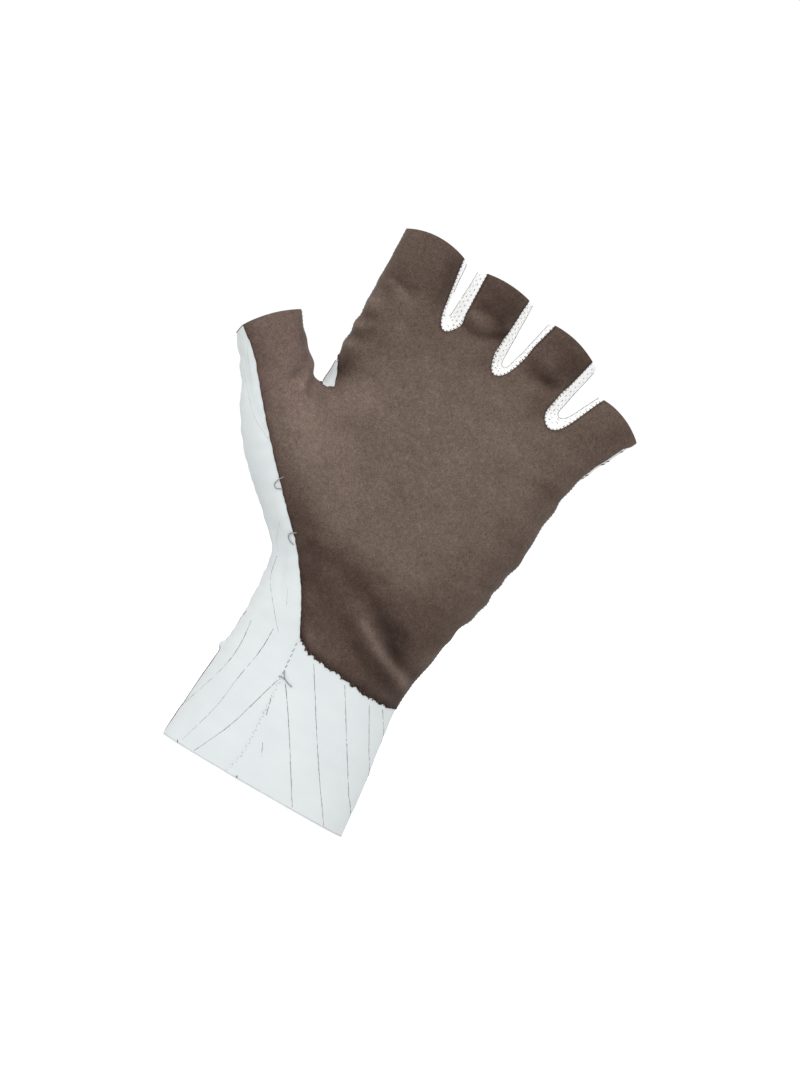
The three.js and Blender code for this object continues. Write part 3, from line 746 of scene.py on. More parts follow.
palm = {
    "raised": 0.3, "thickness": 1.1,
    "edge": 0.14,  # how much darker the cut edge is: painted shade where the edge turns away
    "limits": (0.3, 1.4),  # of the shares below, added to 1
    "contrast": 1.95, "green": 0.28, "blue": 0.36,  # powers that turn the sum into a colour
    "unevenness": [(0.02, 13, 10, 11), (0.012, 5, 12, 12)],  # rows for ripples
    "thumb": {"x": -70, "z": 136, "spread": 500, "red": 0.13, "blue": 0.06},
    "shades": [
        # where the nap lies lighter or darker, and painted shade and highlights where the palm folds, turns
        # away or curls at the heel, fingertips and edges: x, z, reach along, reach across, turn, share
        (-48, 119, 26, 13, 139, 0.17), (-70, 138, 16, 11, 139, 0.04), (-37, 134, 9, 6, 0, 0.09),
        (-4, 65, 20, 11, 0, -0.24), (22, 53, 15, 6, -30, -0.14), (-30, 85, 26, 7.5, 129, -0.2),
        (39, 106, 42, 9, 88, -0.14), (23, 98, 15, 5, 82, -0.1), (20, 83, 14, 8, 0, -0.13),
        (30, 78, 9, 8, 60, -0.08), (-38, 165, 12, 22, 0, -0.05), (-10, 166, 22, 5, 0, -0.07),
        (-39, 191, 12, 14, 90, -0.12), (-28, 186, 14, 4, 84, -0.14), (-38, 180, 12, 3, 0, -0.07),
        (-11, 189.5, 9, 14, 90, -0.295), (-4, 180, 5, 4, -30, -0.22), (-13.5, 181.3, 4.5, 1.8, -8, 0.15),
        (20, 186, 10, 14, 75, -0.26), (24, 183, 7, 4, 75, -0.12), (15.5, 181, 4, 3, 60, 0.07),
        (14, 176, 8, 3, -20, -0.16), (18.6, 174, 3.6, 2.2, 8, -0.28), (20, 167, 5, 4, 60, -0.14),
        (42, 166, 14, 12, 60, -0.12), (18, 73, 13, 5.5, -28, -0.2), (-14, 74, 12, 5, 0, -0.12),
        (-4, 86, 16, 4, -6, -0.08), (-66, 135, 16, 5, 129, -0.06),
        (-64, 147, 5, 2.5, 120, -0.12),
        (-48.6, 158.5, 3, 1.2, 14, 0.24), (-48.2, 168, 3.4, 1.5, 14, 0.18), (-48.4, 150.6, 3, 1.3, 20, 0.2),
        (-47.6, 154.5, 5, 1.5, 14, -0.16), (-47, 162.7, 5, 1.7, 14, -0.14), (-45, 158.6, 2.2, 1.5, 0, -0.1),
        (-47, 142.5, 5, 3.4, 70, -0.3),
        (-42, 173.6, 7, 2, -5, 0.07), (-43, 178.4, 6, 1.7, -8, -0.13), (-45.5, 156, 20, 4.5, 90, -0.065),
        (-40, 181, 9, 4, -6, -0.05), (-46, 187, 5, 5, 0, -0.05), (-31, 191, 4, 6, 0, -0.06),
        (12, 174.6, 5, 2.8, -10, -0.13), (-12, 173.4, 8, 2.4, 0, -0.05), (-64, 146, 4, 3, 120, -0.06),
        (-50, 130, 4, 4, 0, -0.05), (38, 141, 5, 4, 0, -0.08), (-15, 88, 5, 5, 0, -0.06),
        (30, 75, 4, 4, 0, -0.08), (-16, 67, 6, 4, 0, 0.06), (-24, 86, 5, 4, 0, 0.07),
        (-31, 139, 6, 5, 0, 0.07), (0, 130, 8, 7, 0, 0.04), (39, 131, 5, 6, 0, 0.05),
        (5, 74.5, 5, 2.4, -20, 0.07), (10, 75.5, 4, 2, -30, 0.09), (19.5, 65, 4, 2.2, -40, -0.12),
        (22, 69.5, 5, 3, -40, -0.06), (-9, 55.5, 3.5, 3, 0, 0.1), (0, 70, 4, 3, -20, 0.05),
        (-4, 144, 44, 10, 0, 0.022),
        (-5.5, 189.5, 6, 2.5, 90, -0.09), (-14, 185.4, 3, 2, 0, -0.09), (-14, 179, 3, 2, 0, -0.1),
        (12, 173.3, 4, 2, -10, -0.09), (20.5, 179.5, 3, 3, 0, -0.06), (22, 167.5, 3, 2, 0, 0.05),
        (-44, 166, 4, 2, 0, 0.06), (-38, 157, 7, 3, 0, -0.06), (-41, 145.5, 5, 3.4, 0, -0.09),
        (-31, 192, 4, 2.5, 90, -0.07), (-46.2, 173.3, 2.5, 1.6, -20, -0.1), (48, 171, 5, 3.5, 60, -0.08),
        (19, 72.5, 4, 2.2, -20, -0.12), (23, 57.3, 5, 2, -25, -0.13), (16, 59.8, 3, 1.8, -20, -0.1),
        (9, 52.8, 8, 3, 0, -0.11), (-7, 78, 5, 2.4, 0, -0.08), (-1, 84, 5, 2.6, 0, -0.08),
        (26, 60.3, 2.5, 1.5, -20, 0.09), (-45.5, 140, 3.5, 3, 0, -0.08), (37, 140, 4, 4, 0, -0.07),
        (-25, 171, 3, 3, 0, -0.09), (-13, 86, 7, 3, 0, -0.05), (-25, 90.5, 5, 3, 0, -0.07),
        (-70, 130, 5, 4, 0, -0.07), (-10, 55, 4, 3, 0, 0.06), (-15, 70, 4, 3, 0, 0.05),
        (-61, 129, 4, 4, 0, 0.05), (-50, 120, 5, 4, 0, 0.04), (-40, 181, 6, 2.5, 0, 0.05),
        (-8, 185.3, 4, 2, 0, -0.09), (0.5, 65.5, 3, 2.5, 0, -0.09), (15, 50, 3, 2, 0, -0.1),
        (19.5, 160.5, 4, 3, 0, -0.08), (-5, 125, 4, 3, 0, -0.06), (-20, 78, 3, 4, 0, -0.07),
        (5, 75, 2.5, 2, 0, -0.06), (-30, 160, 4, 3, 0, -0.06), (-5, 169, 2.5, 2.5, 0, -0.07),
    ],
    "streaks": [
        # and along these lines, painted highlights on fold crests and painted shade in the creases and along
        # the cut edges: line, width, share
        ([(5, 68.8), (9.5, 66.1), (15.5, 62.6), (21, 60.2), (27, 57.8)], 1.6, 0.24),
        ([(-24, 84), (-8, 81.5), (3, 77.5), (9.5, 73.6), (14.5, 69.4), (18.5, 65.6), (24, 62.4), (31, 61)],
         3.6, -0.23),
        ([(7, 60.4), (12, 58), (18, 55.8), (28, 52.4)], 2.8, -0.2),
        ([(-17.5, 177), (-13.5, 175.8), (-8.5, 177.3), (-3, 180.5)], 1.5, -0.2),
        ([(-17, 183), (-12, 184.6), (-6, 183.5)], 1.3, -0.06),
        (lowEdge, 2.2, -0.3), (lowEdge, 5, -0.09), (thumbSide, 2.4, -0.15),
        ([(-58, 117), (-67, 127), (-76, 136)], 3.4, -0.07),
        ([(-56.1, 137.1), (-55.9, 133.3), (-54.8, 128.4)], 1.1, 0.13),
        ([(-59.5, 139.2), (-58.6, 134.8), (-59.9, 130.9)], 1.6, -0.13),
        ([(-53.2, 134.9), (-53.4, 132.5), (-52.2, 129.2)], 1.2, -0.15),
        ([(-46, 177.1), (-43.5, 176.3), (-40.5, 174.9)], 0.8, 0.12),
        ([(-52, 113), (-45, 103), (-39, 96), (-30, 89)], 4.2, -0.06),
    ],
}


# the palm's colour: the nap's own lighter and darker marks, together with painted shade and painted
# highlights at folds, heel, fingertips and edges
def napAndPaintedShade(p):
    share = np.ones(len(p))
    for x, z, reach, across, turn, amount in palm["shades"]:
        c, s = math.cos(math.radians(turn)), math.sin(math.radians(turn))
        a = (p[:, 0] - x) * c + (p[:, 2] - z) * s
        b = (p[:, 2] - z) * c - (p[:, 0] - x) * s
        share += amount * np.exp(-(a / reach) ** 2 - (b / across) ** 2)
    for line, width, amount in palm["streaks"]:
        gap = toLine(p[:, (0, 2)], smoothLine(line, 24))[0]
        share += amount * bell(gap, width)
    # painted shade: darker along the palm's cut edges, at the low edge, the thumb's side and round the gaps
    border = -palmField(p)
    for outline in webOutlines.values():
        border = np.minimum(border, insideOutline(p[:, (0, 2)], outline))
    share -= palm["edge"] * smoothStep(1.1, 0, border)
    share = np.clip(share + ripples(p, palm["unevenness"]), *palm["limits"])
    # where it is dark the brown is a little redder, and so it is on the thumb
    spot = palm["thumb"]
    thumb = np.exp(-((p[:, 0] - spot["x"]) ** 2 + (p[:, 2] - spot["z"]) ** 2) / spot["spread"])
    dark = np.minimum(share, 1) * (1 - spot["red"] * thumb)
    light = share ** palm["contrast"]
    blue = light * dark ** palm["blue"] * (1 + spot["blue"] * thumb)
    return np.stack([light, light * dark ** palm["green"], blue, np.ones(len(share))], 1)


def subdivided(points, tris):
    # each triangle becomes four
    edges = np.sort(edgesOf(tris), axis=1)
    size = len(points)
    keys = edges[:, 0].astype(np.int64) * size + edges[:, 1]
    unique, index = np.unique(keys, return_inverse=True)
    halves = (points[unique // size] + points[unique % size]) / 2
    ab, bc, ca = (index.reshape(3, -1) + size)
    a, b, c = tris.T
    made = [np.stack(t, 1) for t in ((a, ab, ca), (ab, b, bc), (ca, bc, c), (ab, bc, ca))]
    return np.vstack([points, halves]), np.vstack(made)


meshStrip = {"pitch": 2.15, "hole": 0.27, "border": 0.8, "raised": -0.1, "thickness": 0.5}


def meshStripPiece(name, web):
    # a strip of knit mesh with round holes in a hexagonal pattern
    used, tris = ownCorners(faces[panelOf == "meshStrip" + name])
    points = np.hstack([shell[used], normal[used]])
    edges, counts = np.unique(np.sort(edgesOf(tris), axis=1), axis=0, return_counts=True)
    rim = np.unique(edges[counts == 1])
    for turn in range(2):
        points, tris = subdivided(points, tris)
    line = webEdge(web)
    uv = np.stack([toLine(points[:, (0, 2)], line)[1], points[:, 1]], 1)
    rimUv = uv[rim]
    pitch, row = meshStrip["pitch"], meshStrip["pitch"] * math.sqrt(3) / 2
    us = np.arange(0, uv[:, 0].max() + pitch, pitch)
    vs = np.arange(-round(14 / row), round(14 / row) + 1)
    holes = np.array([(u + 0.5 * pitch * (v % 2), v * row) for u in us for v in vs])
    clear = [np.hypot(*(rimUv - hole).T).min() > meshStrip["border"] for hole in holes]
    holes = holes[np.array(clear)]
    value = nearestSpot(uv, holes)[0]
    points, tris = splitAlong(points, tris, lambda p: value - meshStrip["hole"])
    value = np.concatenate([value, np.full(len(points) - len(value), meshStrip["hole"])])
    tris = tris[value[tris].mean(1) > meshStrip["hole"]]
    unit = points[:, 3:] / np.linalg.norm(points[:, 3:], axis=1)[:, None]
    # painted shade: the knit is darker round each hole, where the hole lies in shade
    holeShade = 0.5 + 0.5 * smoothStep(meshStrip["hole"], meshStrip["hole"] + 0.18, value)
    holeShade = np.stack([holeShade, holeShade, holeShade, np.ones(len(holeShade))], 1)
    return clothPiece("meshStrip" + name, points[:, :3], unit, tris, meshStrip["raised"],
                      meshStrip["thickness"], {"knit": holeShade})


panels = {}
napAndShade = napAndPaintedShade(shell)
panels["palm"] = clothPiece("palm", shell, normal, faces[panelOf == "palm"],
                            palm["raised"], palm["thickness"], {"napAndShade": napAndShade})
panels["back"] = clothPiece("back", shell, normal, faces[panelOf == "back"], 0, 1.0)
panels["cuffFront"] = clothPiece("cuffFront", shell, normal, faces[panelOf == "cuffFront"], 0, 1.0)
for name, web in webs.items():
    panels["meshStrip" + name] = meshStripPiece(name, web)
print("panels made", {key: len(p.data.polygons) for key, p in panels.items()})


# Threads: stitches, pinstripes and loose ends lie on the cloth

shellTree = BVHTree.FromPolygons(shell.tolist(), faces.tolist())


def castOn(start, way):
    # a ray can slip between two triangles, so it is sent again a hair beside
    for shift in (0, 0.02, -0.03):
        begin = Vector(start) + Vector((shift, 0.3 * shift, shift))
        place, flat, index, distance = shellTree.ray_cast(begin, Vector(way))
        if place is not None:
            return np.array(place), np.array(flat)
    return None, None


def onFront(x, z):
    return castOn((x, -60, z), (0, 1, 0))


def onBack(x, z):
    return castOn((x, 60, z), (0, -1, 0))


def aroundCuff(turn, z):
    # 0 is the middle of the palm's side, 90 the right edge, 180 the back
    s, c = math.sin(math.radians(turn)), math.cos(math.radians(turn))
    return castOn((90 * s, -90 * c, z), (-s, c, 0))


def threadPiece(name, paths, sides=6):
    # paths: lists of (point, radius), in mm
    points, polygons = [], []
    for path in paths:
        line = np.array([p for p, r in path], float)
        radius = np.array([r for p, r in path], float)
        if len(line) < 2:
            continue
        way = np.gradient(line, axis=0)
        way /= np.maximum(np.linalg.norm(way, axis=1), 1e-6)[:, None]
        up = np.cross(way[0], (0.31, 0.77, 0.55))
        start = len(points)
        for k in range(len(line)):
            up = up - way[k] * (up @ way[k])
            up = up / max(np.linalg.norm(up), 1e-6)
            other = np.cross(way[k], up)
            for i in range(sides):
                angle = 2 * math.pi * i / sides
                points.append(line[k] + radius[k] * (math.cos(angle) * up + math.sin(angle) * other))
        for k in range(len(line) - 1):
            for i in range(sides):
                a, b = start + k * sides + i, start + k * sides + (i + 1) % sides
                polygons.append((a, b, b + sides, a + sides))
        polygons.append(tuple(start + i for i in reversed(range(sides))))
        polygons.append(tuple(start + (len(line) - 1) * sides + i for i in range(sides)))
    return makeMesh(name, np.array(points), polygons)


def stitch(a, b, radius, bow=0.0, up=(0, -1, 0), count=5):
    # one short length of thread from a to b, tapered at its ends and bowed up in the middle
    t = np.linspace(0, 1, count)
    line = a + (b - a) * t[:, None] + np.array(up) * (bow * np.sin(np.pi * t))[:, None]
    return [(p, radius * (0.45 if k in (0, count - 1) else 1)) for k, p in enumerate(line)]


def pointAt(line, run, place):
    return np.stack([np.interp(place, run, line[:, k]) for k in (0, 1)], -1)


fingerSeam = {"pitch": 1.4, "inside": 0.75, "outside": 0.5, "radius": 0.15, "bow": 0.32}


def fingerOverlock():
    # over the palm's edge round each gap between two fingers
    stitches = []
    for web in webs.values():
        line = webEdge(web)
        run = runAlong(line)
        for place in np.arange(0.8, run[-1] - 0.4, fingerSeam["pitch"]):
            x, z = pointAt(line, run, place)
            ahead = pointAt(line, run, place + 0.4) - pointAt(line, run, place - 0.4)
            ahead /= np.linalg.norm(ahead)
            away = np.array([-ahead[1], ahead[0]])  # into the gap between the fingers
            inner, up = onFront(x - away[0] * fingerSeam["inside"], z - away[1] * fingerSeam["inside"])
            outer, down = onFront(x + away[0] * fingerSeam["outside"], z + away[1] * fingerSeam["outside"])
            if inner is None or outer is None or abs(inner[1] - outer[1]) > 3:
                continue
            inner = inner + up * (palm["raised"] + 0.02)
            outer = outer + down * 0.08
            stitches.append(stitch(inner, outer, fingerSeam["radius"], fingerSeam["bow"], up))
    return stitches


def seamSamples(first, second, gap):
    # every gap mm along the seam between two panels: place, outward normal, way into the first panel
    edges = np.sort(edgesOf(faces), axis=1)
    owner = np.tile(np.arange(len(faces)), 3)
    order = np.lexsort((edges[:, 1], edges[:, 0]))
    edges, owner = edges[order], owner[order]
    same = (edges[1:] == edges[:-1]).all(1)
    one, two = owner[:-1][same], owner[1:][same]
    pairs = edges[:-1][same]
    swap = (panelOf[one] == second) & (panelOf[two] == first)
    one, two = np.where(swap, two, one), np.where(swap, one, two)
    kept = (panelOf[one] == first) & (panelOf[two] == second)
    into, links = {}, {}
    for (a, b), face in zip(pairs[kept].tolist(), one[kept]):
        links.setdefault(a, []).append(b)
        links.setdefault(b, []).append(a)
        into[(a, b)] = shell[faces[face]].mean(0) - (shell[a] + shell[b]) / 2
    samples = []
    while links:
        start = next((v for v in sorted(links) if len(links[v]) == 1), min(links))
        chain = [start]
        while links.get(chain[-1]):
            here = chain[-1]
            ahead = links[here].pop()
            links[ahead].remove(here)
            if not links[here]:
                del links[here]
            chain.append(ahead)
        if chain[-1] in links and not links[chain[-1]]:
            del links[chain[-1]]
        left = gap / 2
        for a, b in zip(chain[:-1], chain[1:]):
            size = np.linalg.norm(shell[b] - shell[a])
            while left < size:
                share = left / size
                up = normal[a] * (1 - share) + normal[b] * share
                up = up / np.linalg.norm(up)
                way = np.cross(up, shell[b] - shell[a])
                way = way / max(np.linalg.norm(way), 1e-6)
                if way @ into[(min(a, b), max(a, b))] < 0:
                    way = -way
                samples.append((shell[a] * (1 - share) + shell[b] * share, up, way))
                left += gap
            left -= size
    return samples


sideSeamStitches = {
    "pitch": 1.5, "inside": 0.75, "outside": 0.55, "radius": 0.14, "bow": 0.2,
    "fineRadius": 0.08,  # beside the little finger
    "onWhite": [150.6, 152.2, 158.4, 160.1, 165.4],  # z of the few that stand on the white edge there
}


def sideOverlock():
    # the palm is sewn to the back down both sides, over the edge with brown thread
    values = sideSeamStitches
    stitches = []
    for place, up, way in seamSamples("palm", "back", values["pitch"]):
        if place[2] < 50 or (up[1] < -0.55 and place[0] < 0):
            continue
        isFine = place[0] > 36 and 147 < place[2] < 171
        start, end = place + way * values["inside"] + up * 0.32, place - way * values["outside"] + up * 0.07
        stitches.append(stitch(start, end, values["fineRadius" if isFine else "radius"], values["bow"], up))
    for z in values["onWhite"]:
        low, up = castOn((90, -3.4, z), (-1, 0, 0))
        high, down = castOn((90, -1.6, z + 0.9), (-1, 0, 0))
        if low is not None and high is not None:
            stitches.append(stitch(low + up * 0.1, high + down * 0.1, 0.15, 0.15, up))
    return stitches


stripSeam = {"pitch": 1.4, "reach": 0.6, "radius": 0.14, "bow": 0.22}


def stripOverlock():
    # the mesh strips are sewn to the back with white thread
    stitches = []
    for name in webs:
        for place, up, way in seamSamples("meshStrip" + name, "back", stripSeam["pitch"]):
            way = way * stripSeam["reach"]
            start, end = place + way + up * 0.03, place - way + up * 0.1
            stitches.append(stitch(start, end, stripSeam["radius"], stripSeam["bow"], up))
    return stitches


# Pinstripes of the cuff: a part seen from the palm's side as (x, z), then on round it as (turn, z),
# and for some the share of their length after which they are worn thin
pinstripes = {
    "radius": 0.125,
    "lines": [
        ([(-8, 37), (0, 25.5), (15.5, 1.2)], []),
        ([(-3, 48), (15, 20), (28.5, 0.6)], []),
        ([(10, 47), (20, 31), (31, 13.5)], [(98, 1)]),
        ([(21, 45), (29.5, 30)], [(102, 16), (124, 1)]),
        ([(-10.2, 31.5), (-8.4, 24.5)], []), ([(-4.6, 15.5), (-2.6, 11)], []),
        ([(-29.5, 50), (-28.6, 41), (-29.5, 32), (-33, 20)], [(-96, 4)], 0.36),
        ([(-21.3, 51.5), (-21.5, 42), (-23.5, 30), (-25, 18), (-29.5, 2)], [], 0.42),
        ([(-11, 37), (-14.5, 25), (-17.5, 15), (-24, 0.8)], []),
        ([(-33, 74), (-31, 66), (-25, 58), (-19, 51)], [], 0),
        ([], [(70, 46), (98, 31), (128, 14), (150, 1)]),
        ([], [(84, 60), (108, 46), (134, 29), (158, 12), (174, 1)]),
        ([], [(96, 74), (120, 60), (146, 41), (168, 23), (180, 12)]),
        ([], [(124, 78), (144, 62), (164, 46), (180, 32)]),
        ([], [(148, 78), (166, 63), (180, 51)]),
        ([], [(-80, 52), (-102, 34), (-130, 16), (-152, 1)]),
        ([], [(-88, 68), (-110, 52), (-136, 33), (-160, 14), (-174, 1)]),
        ([], [(-108, 78), (-130, 60), (-152, 42), (-170, 25), (-180, 13)]),
        ([], [(-136, 78), (-154, 61), (-168, 47), (-180, 33)]),
        ([], [(-158, 76), (-170, 62), (-180, 52)]),
    ],
}


def alongPath(points, gap):
    points = smoothLine(points, 40) if len(points) > 2 else np.array(points, float)
    run = runAlong(points)
    return pointAt(points, run, np.arange(0, run[-1] + gap / 2, gap))


def pinstripePaths():
    random = np.random.default_rng(21)
    paths = []
    for seen, hidden, *fade in pinstripes["lines"]:
        spots = [onFront(x, z) for x, z in (alongPath(seen, 0.8) if seen else [])]
        if seen and hidden:
            end = spots[-1][0]
            hidden = [(math.degrees(math.atan2(end[0], -end[1])), end[2])] + hidden
        spots += [aroundCuff(turn, z) for turn, z in (alongPath(hidden, 1.1) if hidden else [])]
        path = []
        phase = random.uniform(0, 6.3)
        for k, (place, up) in enumerate(spots):
            if place is None:
                continue
            sink = 0.02 + 0.03 * math.sin(k * 0.33 + phase) + random.uniform(-0.05, 0.05)
            size = pinstripes["radius"] * random.uniform(0.65, 1.15)
            if fade and k > fade[0] * len(spots):
                sink, size = 0.5 * sink, 0.55 * size
            place = place + np.array([random.uniform(-0.07, 0.07), 0, 0])
            path.append((place - up * sink, size))
        paths.append(path)
    return paths


threadEnds = [
    # radius, then points as (x, z, height over the cloth)
    (0.19, [(-44.6, 99, 0.3), (-45.8, 97, 0.8), (-46.1, 95.2, 0.9), (-45, 94.3, 0.8), (-42.9, 95.2, 0.4)]),
    (0.21, [(-31, 84.4, 0.4), (-32.6, 83.4, 0.8), (-33, 82, 0.9), (-31.8, 80.9, 0.8), (-29.9, 80.3, 0.4)]),
    (0.2, [(-10.7, 41, 0.2), (-9.9, 39.4, 0.6), (-8.3, 38.1, 0.8), (-5.6, 37.3, 0.4)]),
    (0.17, [(-11.4, 38.3, 0.2), (-10.5, 38.5, 0.5), (-9.6, 38.5, 0.6), (-8.6, 38.2, 0.5)]),
]


def curl(radius, spots):
    # a loose end lies on a smooth line over the cloth
    points = [onFront(x, z)[0] + np.array([0, -height, 0]) for x, z, height in spots]
    return [(p, radius) for p in smoothLine(points, 24)]


# the pinched cloth on the cuff's left edge stands up in a small round fold: point, radius
cuffPinch = [
    ((-33.2, -0.4, 39.4), 0.3), ((-34.1, -0.5, 38.7), 0.55), ((-34.8, -0.3, 37.6), 0.66),
    ((-34.6, -0.1, 36.7), 0.5), ((-33.7, 0, 36), 0.3)]

gapLine = {
    "radius": 0.14, "depth": -1.2,  # y of the line
    "longest": 9,   # mm from the middle of the gap to the cloth
    "break": 2.2,   # mm between two points where the line is broken off
}


def gapPaths():
    # one fine grey line runs round the inside of each gap between two fingers, on the strip's sides where
    # they turn out of sight
    paths = []
    for web in webs.values():
        edge = webEdge(web)
        k = int(edge[:, 1].argmin())
        low = edge[k]
        rays = []
        for side, turn in ((edge[:k + 1], 180), (edge[k:][::-1], 0)):
            rows = np.arange(side[0, 1] - 0.4, low[1] + 6, -1.2)
            other = edge[k:] if turn else edge[:k + 1][::-1]
            left = np.interp(rows, side[::-1, 1], side[::-1, 0])
            right = np.interp(rows, other[:, 1], other[:, 0])
            part = [((a + b) / 2, z, turn) for a, b, z in zip(left, right, rows)]
            rays.append(part if turn else part[::-1])
        x, z = rays[0][-1][0], rays[0][-1][1]
        rays = rays[0] + [(x, z, turn) for turn in range(188, 353, 8)] + rays[1]
        path = []
        for x, z, turn in rays:
            way = (math.cos(math.radians(turn)), 0, math.sin(math.radians(turn)))
            place, up = castOn((x, gapLine["depth"], z), way)
            if place is None or math.hypot(place[0] - x, place[2] - z) > gapLine["longest"]:
                continue
            spot = place - up * 0.02
            if path and np.linalg.norm(spot - path[-1][0]) > gapLine["break"]:
                paths.append(path)
                path = []
            path.append((spot, gapLine["radius"]))
        paths.append(path)
    return paths


# Creases of the thumb's strip, too sharp for the cloth's mesh, as fine ridges in a greyer white: painted
# shade in the creases
creaseLines = [
    [(-84.2, 132.5), (-77.6, 126.5), (-70, 118), (-63.5, 111.7), (-55.7, 107.7)],
    [(-79, 133.5), (-76.5, 129), (-72.5, 124)], [(-50, 103), (-45.6, 100.5)],
    [(-38, 85), (-36.5, 80), (-33.5, 75.5)], [(-24, 66), (-21.5, 61)],
]


def creasePath(line):
    path = []
    for k, (x, z) in enumerate(alongPath(line, 0.9)):
        place, up = onFront(x, z)
        if place is not None:
            path.append((place - up * (0.09 + 0.04 * math.sin(k * 0.7)), 0.17))
    return path


cuffSeamStitches = {
    # z from, to, step, radius, bow, height over the cloth
    "grey": (51.5, 40, -2.1, 0.13, 0.1, 0.01),     # where the two cloths start
    "white": (38, 1, -1.3, 0.11, 0.12, -0.03),  # small, in a zigzag below
}


def seamStitches(colour):
    first, last, gap, radius, bow, height = cuffSeamStitches[colour]
    stitches = []
    for k, z in enumerate(np.arange(first, last, gap)):
        if colour == "grey":
            start, end, down = 0.15, -0.15, 1.3 + 0.3 * (k % 2)
        else:
            start, end, down = (0.6, -0.1, 0.7) if k % 2 else (-0.6, 0.1, 0.7)
        a, up = onFront(seamX(z) + start, z)
        b, other = onFront(seamX(z) + end, z - down)
        stitches.append(stitch(a + up * height, b + other * height, radius, bow, up))
    return stitches


hemLine = {"z": 0.55, "radius": 0.13, "step": 2}  # the cut hem of the cuff, step in degrees


def hemPath():
    path = []
    for turn in range(0, 360 + hemLine["step"], hemLine["step"]):
        point, up = aroundCuff(turn, hemLine["z"])
        path.append((point - up * 0.06, hemLine["radius"]))
    return path


def thumbSideStripe():
    # a stripe that comes round to the cuff's thumb side and back
    path = []
    middle, reach = 21, 23
    for z in np.arange(44, 0.8, -1.2):
        away = abs(z - middle) / reach
        point, up = aroundCuff(-88 - 9 * away ** 5, z)
        path.append((point - up * 0.06 * math.cos(z / 3.4 + 1), 0.26 - 0.14 * away ** 2))
    return path


def notchLine():
    # a dark line on the edge of the white cloth in the notch beside the index finger, where it turns away:
    # painted shade
    path = []
    for z in np.arange(135, 143.6, 0.7):
        hits = [castOn((-52 - 0.25 * (z - 134), y, z), (1, 0, 0)) for y in np.arange(-5, 5, 0.7)]
        hits = [hit for hit in hits if hit[0] is not None and hit[0][0] < -44 and hit[1][0] < -0.2]
        if hits:
            place, up = min(hits, key=lambda hit: hit[0][0])
            path.append((place + up * 0.1, 0.19))
    return path


def cornerLine():
    # the cut hem at the thumb's outer corner
    path = []
    for x, z in alongPath([(-85.6, 133.2), (-85.1, 135.6), (-84, 137.4), (-82.6, 138.5)], 0.5):
        hits = [onFront(x + 0.12 * k, z - 0.1 * k) for k in range(16)]
        hits = [hit for hit in hits if hit[0] is not None]
        if hits:
            place, up = hits[0]
            path.append((place + up * 0.05, 0.15))
    return path


def hemEnd(x):
    # the end of a stripe at the cuff's hem
    point, up = onFront(x, 1.3)
    low, down = onFront(x + 0.5, 0.4)
    return stitch(point, low, 0.17, 0.1, up)


edgeFibres = {
    # short fibres that stand out of the palm's low edge: mm between two tufts, radius, fall over the edge
    "gap": (1.0, 3.0), "radius": (0.14, 0.3), "fall": (0.0, 0.7), "spread": 0.7, "lean": 0.5,
}


def fibres():
    random = np.random.default_rng(8)
    line = smoothLine(lowEdge, 60)
    run = runAlong(line)
    tufts = []
    place = 4.0
    while place < run[-1] - 1:
        x, z = pointAt(line, run, place)
        for k in range(random.integers(1, 3)):
            dx = random.uniform(-edgeFibres["spread"], edgeFibres["spread"])
            top, up = onFront(x + dx, z + 0.9)
            lean = random.uniform(-edgeFibres["lean"], edgeFibres["lean"])
            low, down = onFront(x + dx + lean, z - random.uniform(*edgeFibres["fall"]))
            if top is None or low is None:
                continue
            radius = random.uniform(*edgeFibres["radius"])
            tufts.append(stitch(top + up * 0.2, low + down * 0.1, radius, 0.12, up))
        place += random.uniform(*edgeFibres["gap"])
    return tufts


threads = {
    name: threadPiece(name, paths, sides) for name, paths, sides in (
        ("fingerOverlock", fingerOverlock(), 6),
        ("sideOverlock", sideOverlock(), 6),
        ("meshStripStitches", stripOverlock(), 6),
        ("cuffPinstripes", pinstripePaths(), 5),
        ("looseThreads", [curl(*end) for end in threadEnds], 6),
        ("cuffPinch", [cuffPinch], 10),
        ("gapLines", gapPaths(), 5),
        ("stripCreases", [creasePath(line) for line in creaseLines], 6),
        ("cuffSeamStitches", seamStitches("grey"), 6),
        ("cuffSeamZigzag", seamStitches("white"), 6),
        ("cuffHemLine", [hemPath()], 5),
        ("edgeLines", [thumbSideStripe(), notchLine(), cornerLine(), hemEnd(-30.8), hemEnd(-6.7)], 6),
        ("palmEdgeFibres", fibres(), 6),
    )}
print("threads made", {name: len(piece.data.polygons) for name, piece in threads.items()})


# Materials

def setRamp(ramp, stops):
    elements = ramp.color_ramp.elements
    while len(elements) < len(stops):
        elements.new(0.5)
    for element, (position, colour) in zip(elements, stops):
        element.position = position
        element.color = linear(colour)


def shadedBy(tree, colour, layer):
    # the colour times what the mesh's colour layer holds at each point
    shade = addNode(tree, "ShaderNodeAttribute", {"attribute_name": layer})
    mixed = addNode(tree, "ShaderNodeMix", {"data_type": "RGBA", "blend_type": "MULTIPLY", 0: 1.0},
                    {6: colour, 7: shade.outputs["Color"]})
    return mixed.outputs[2]


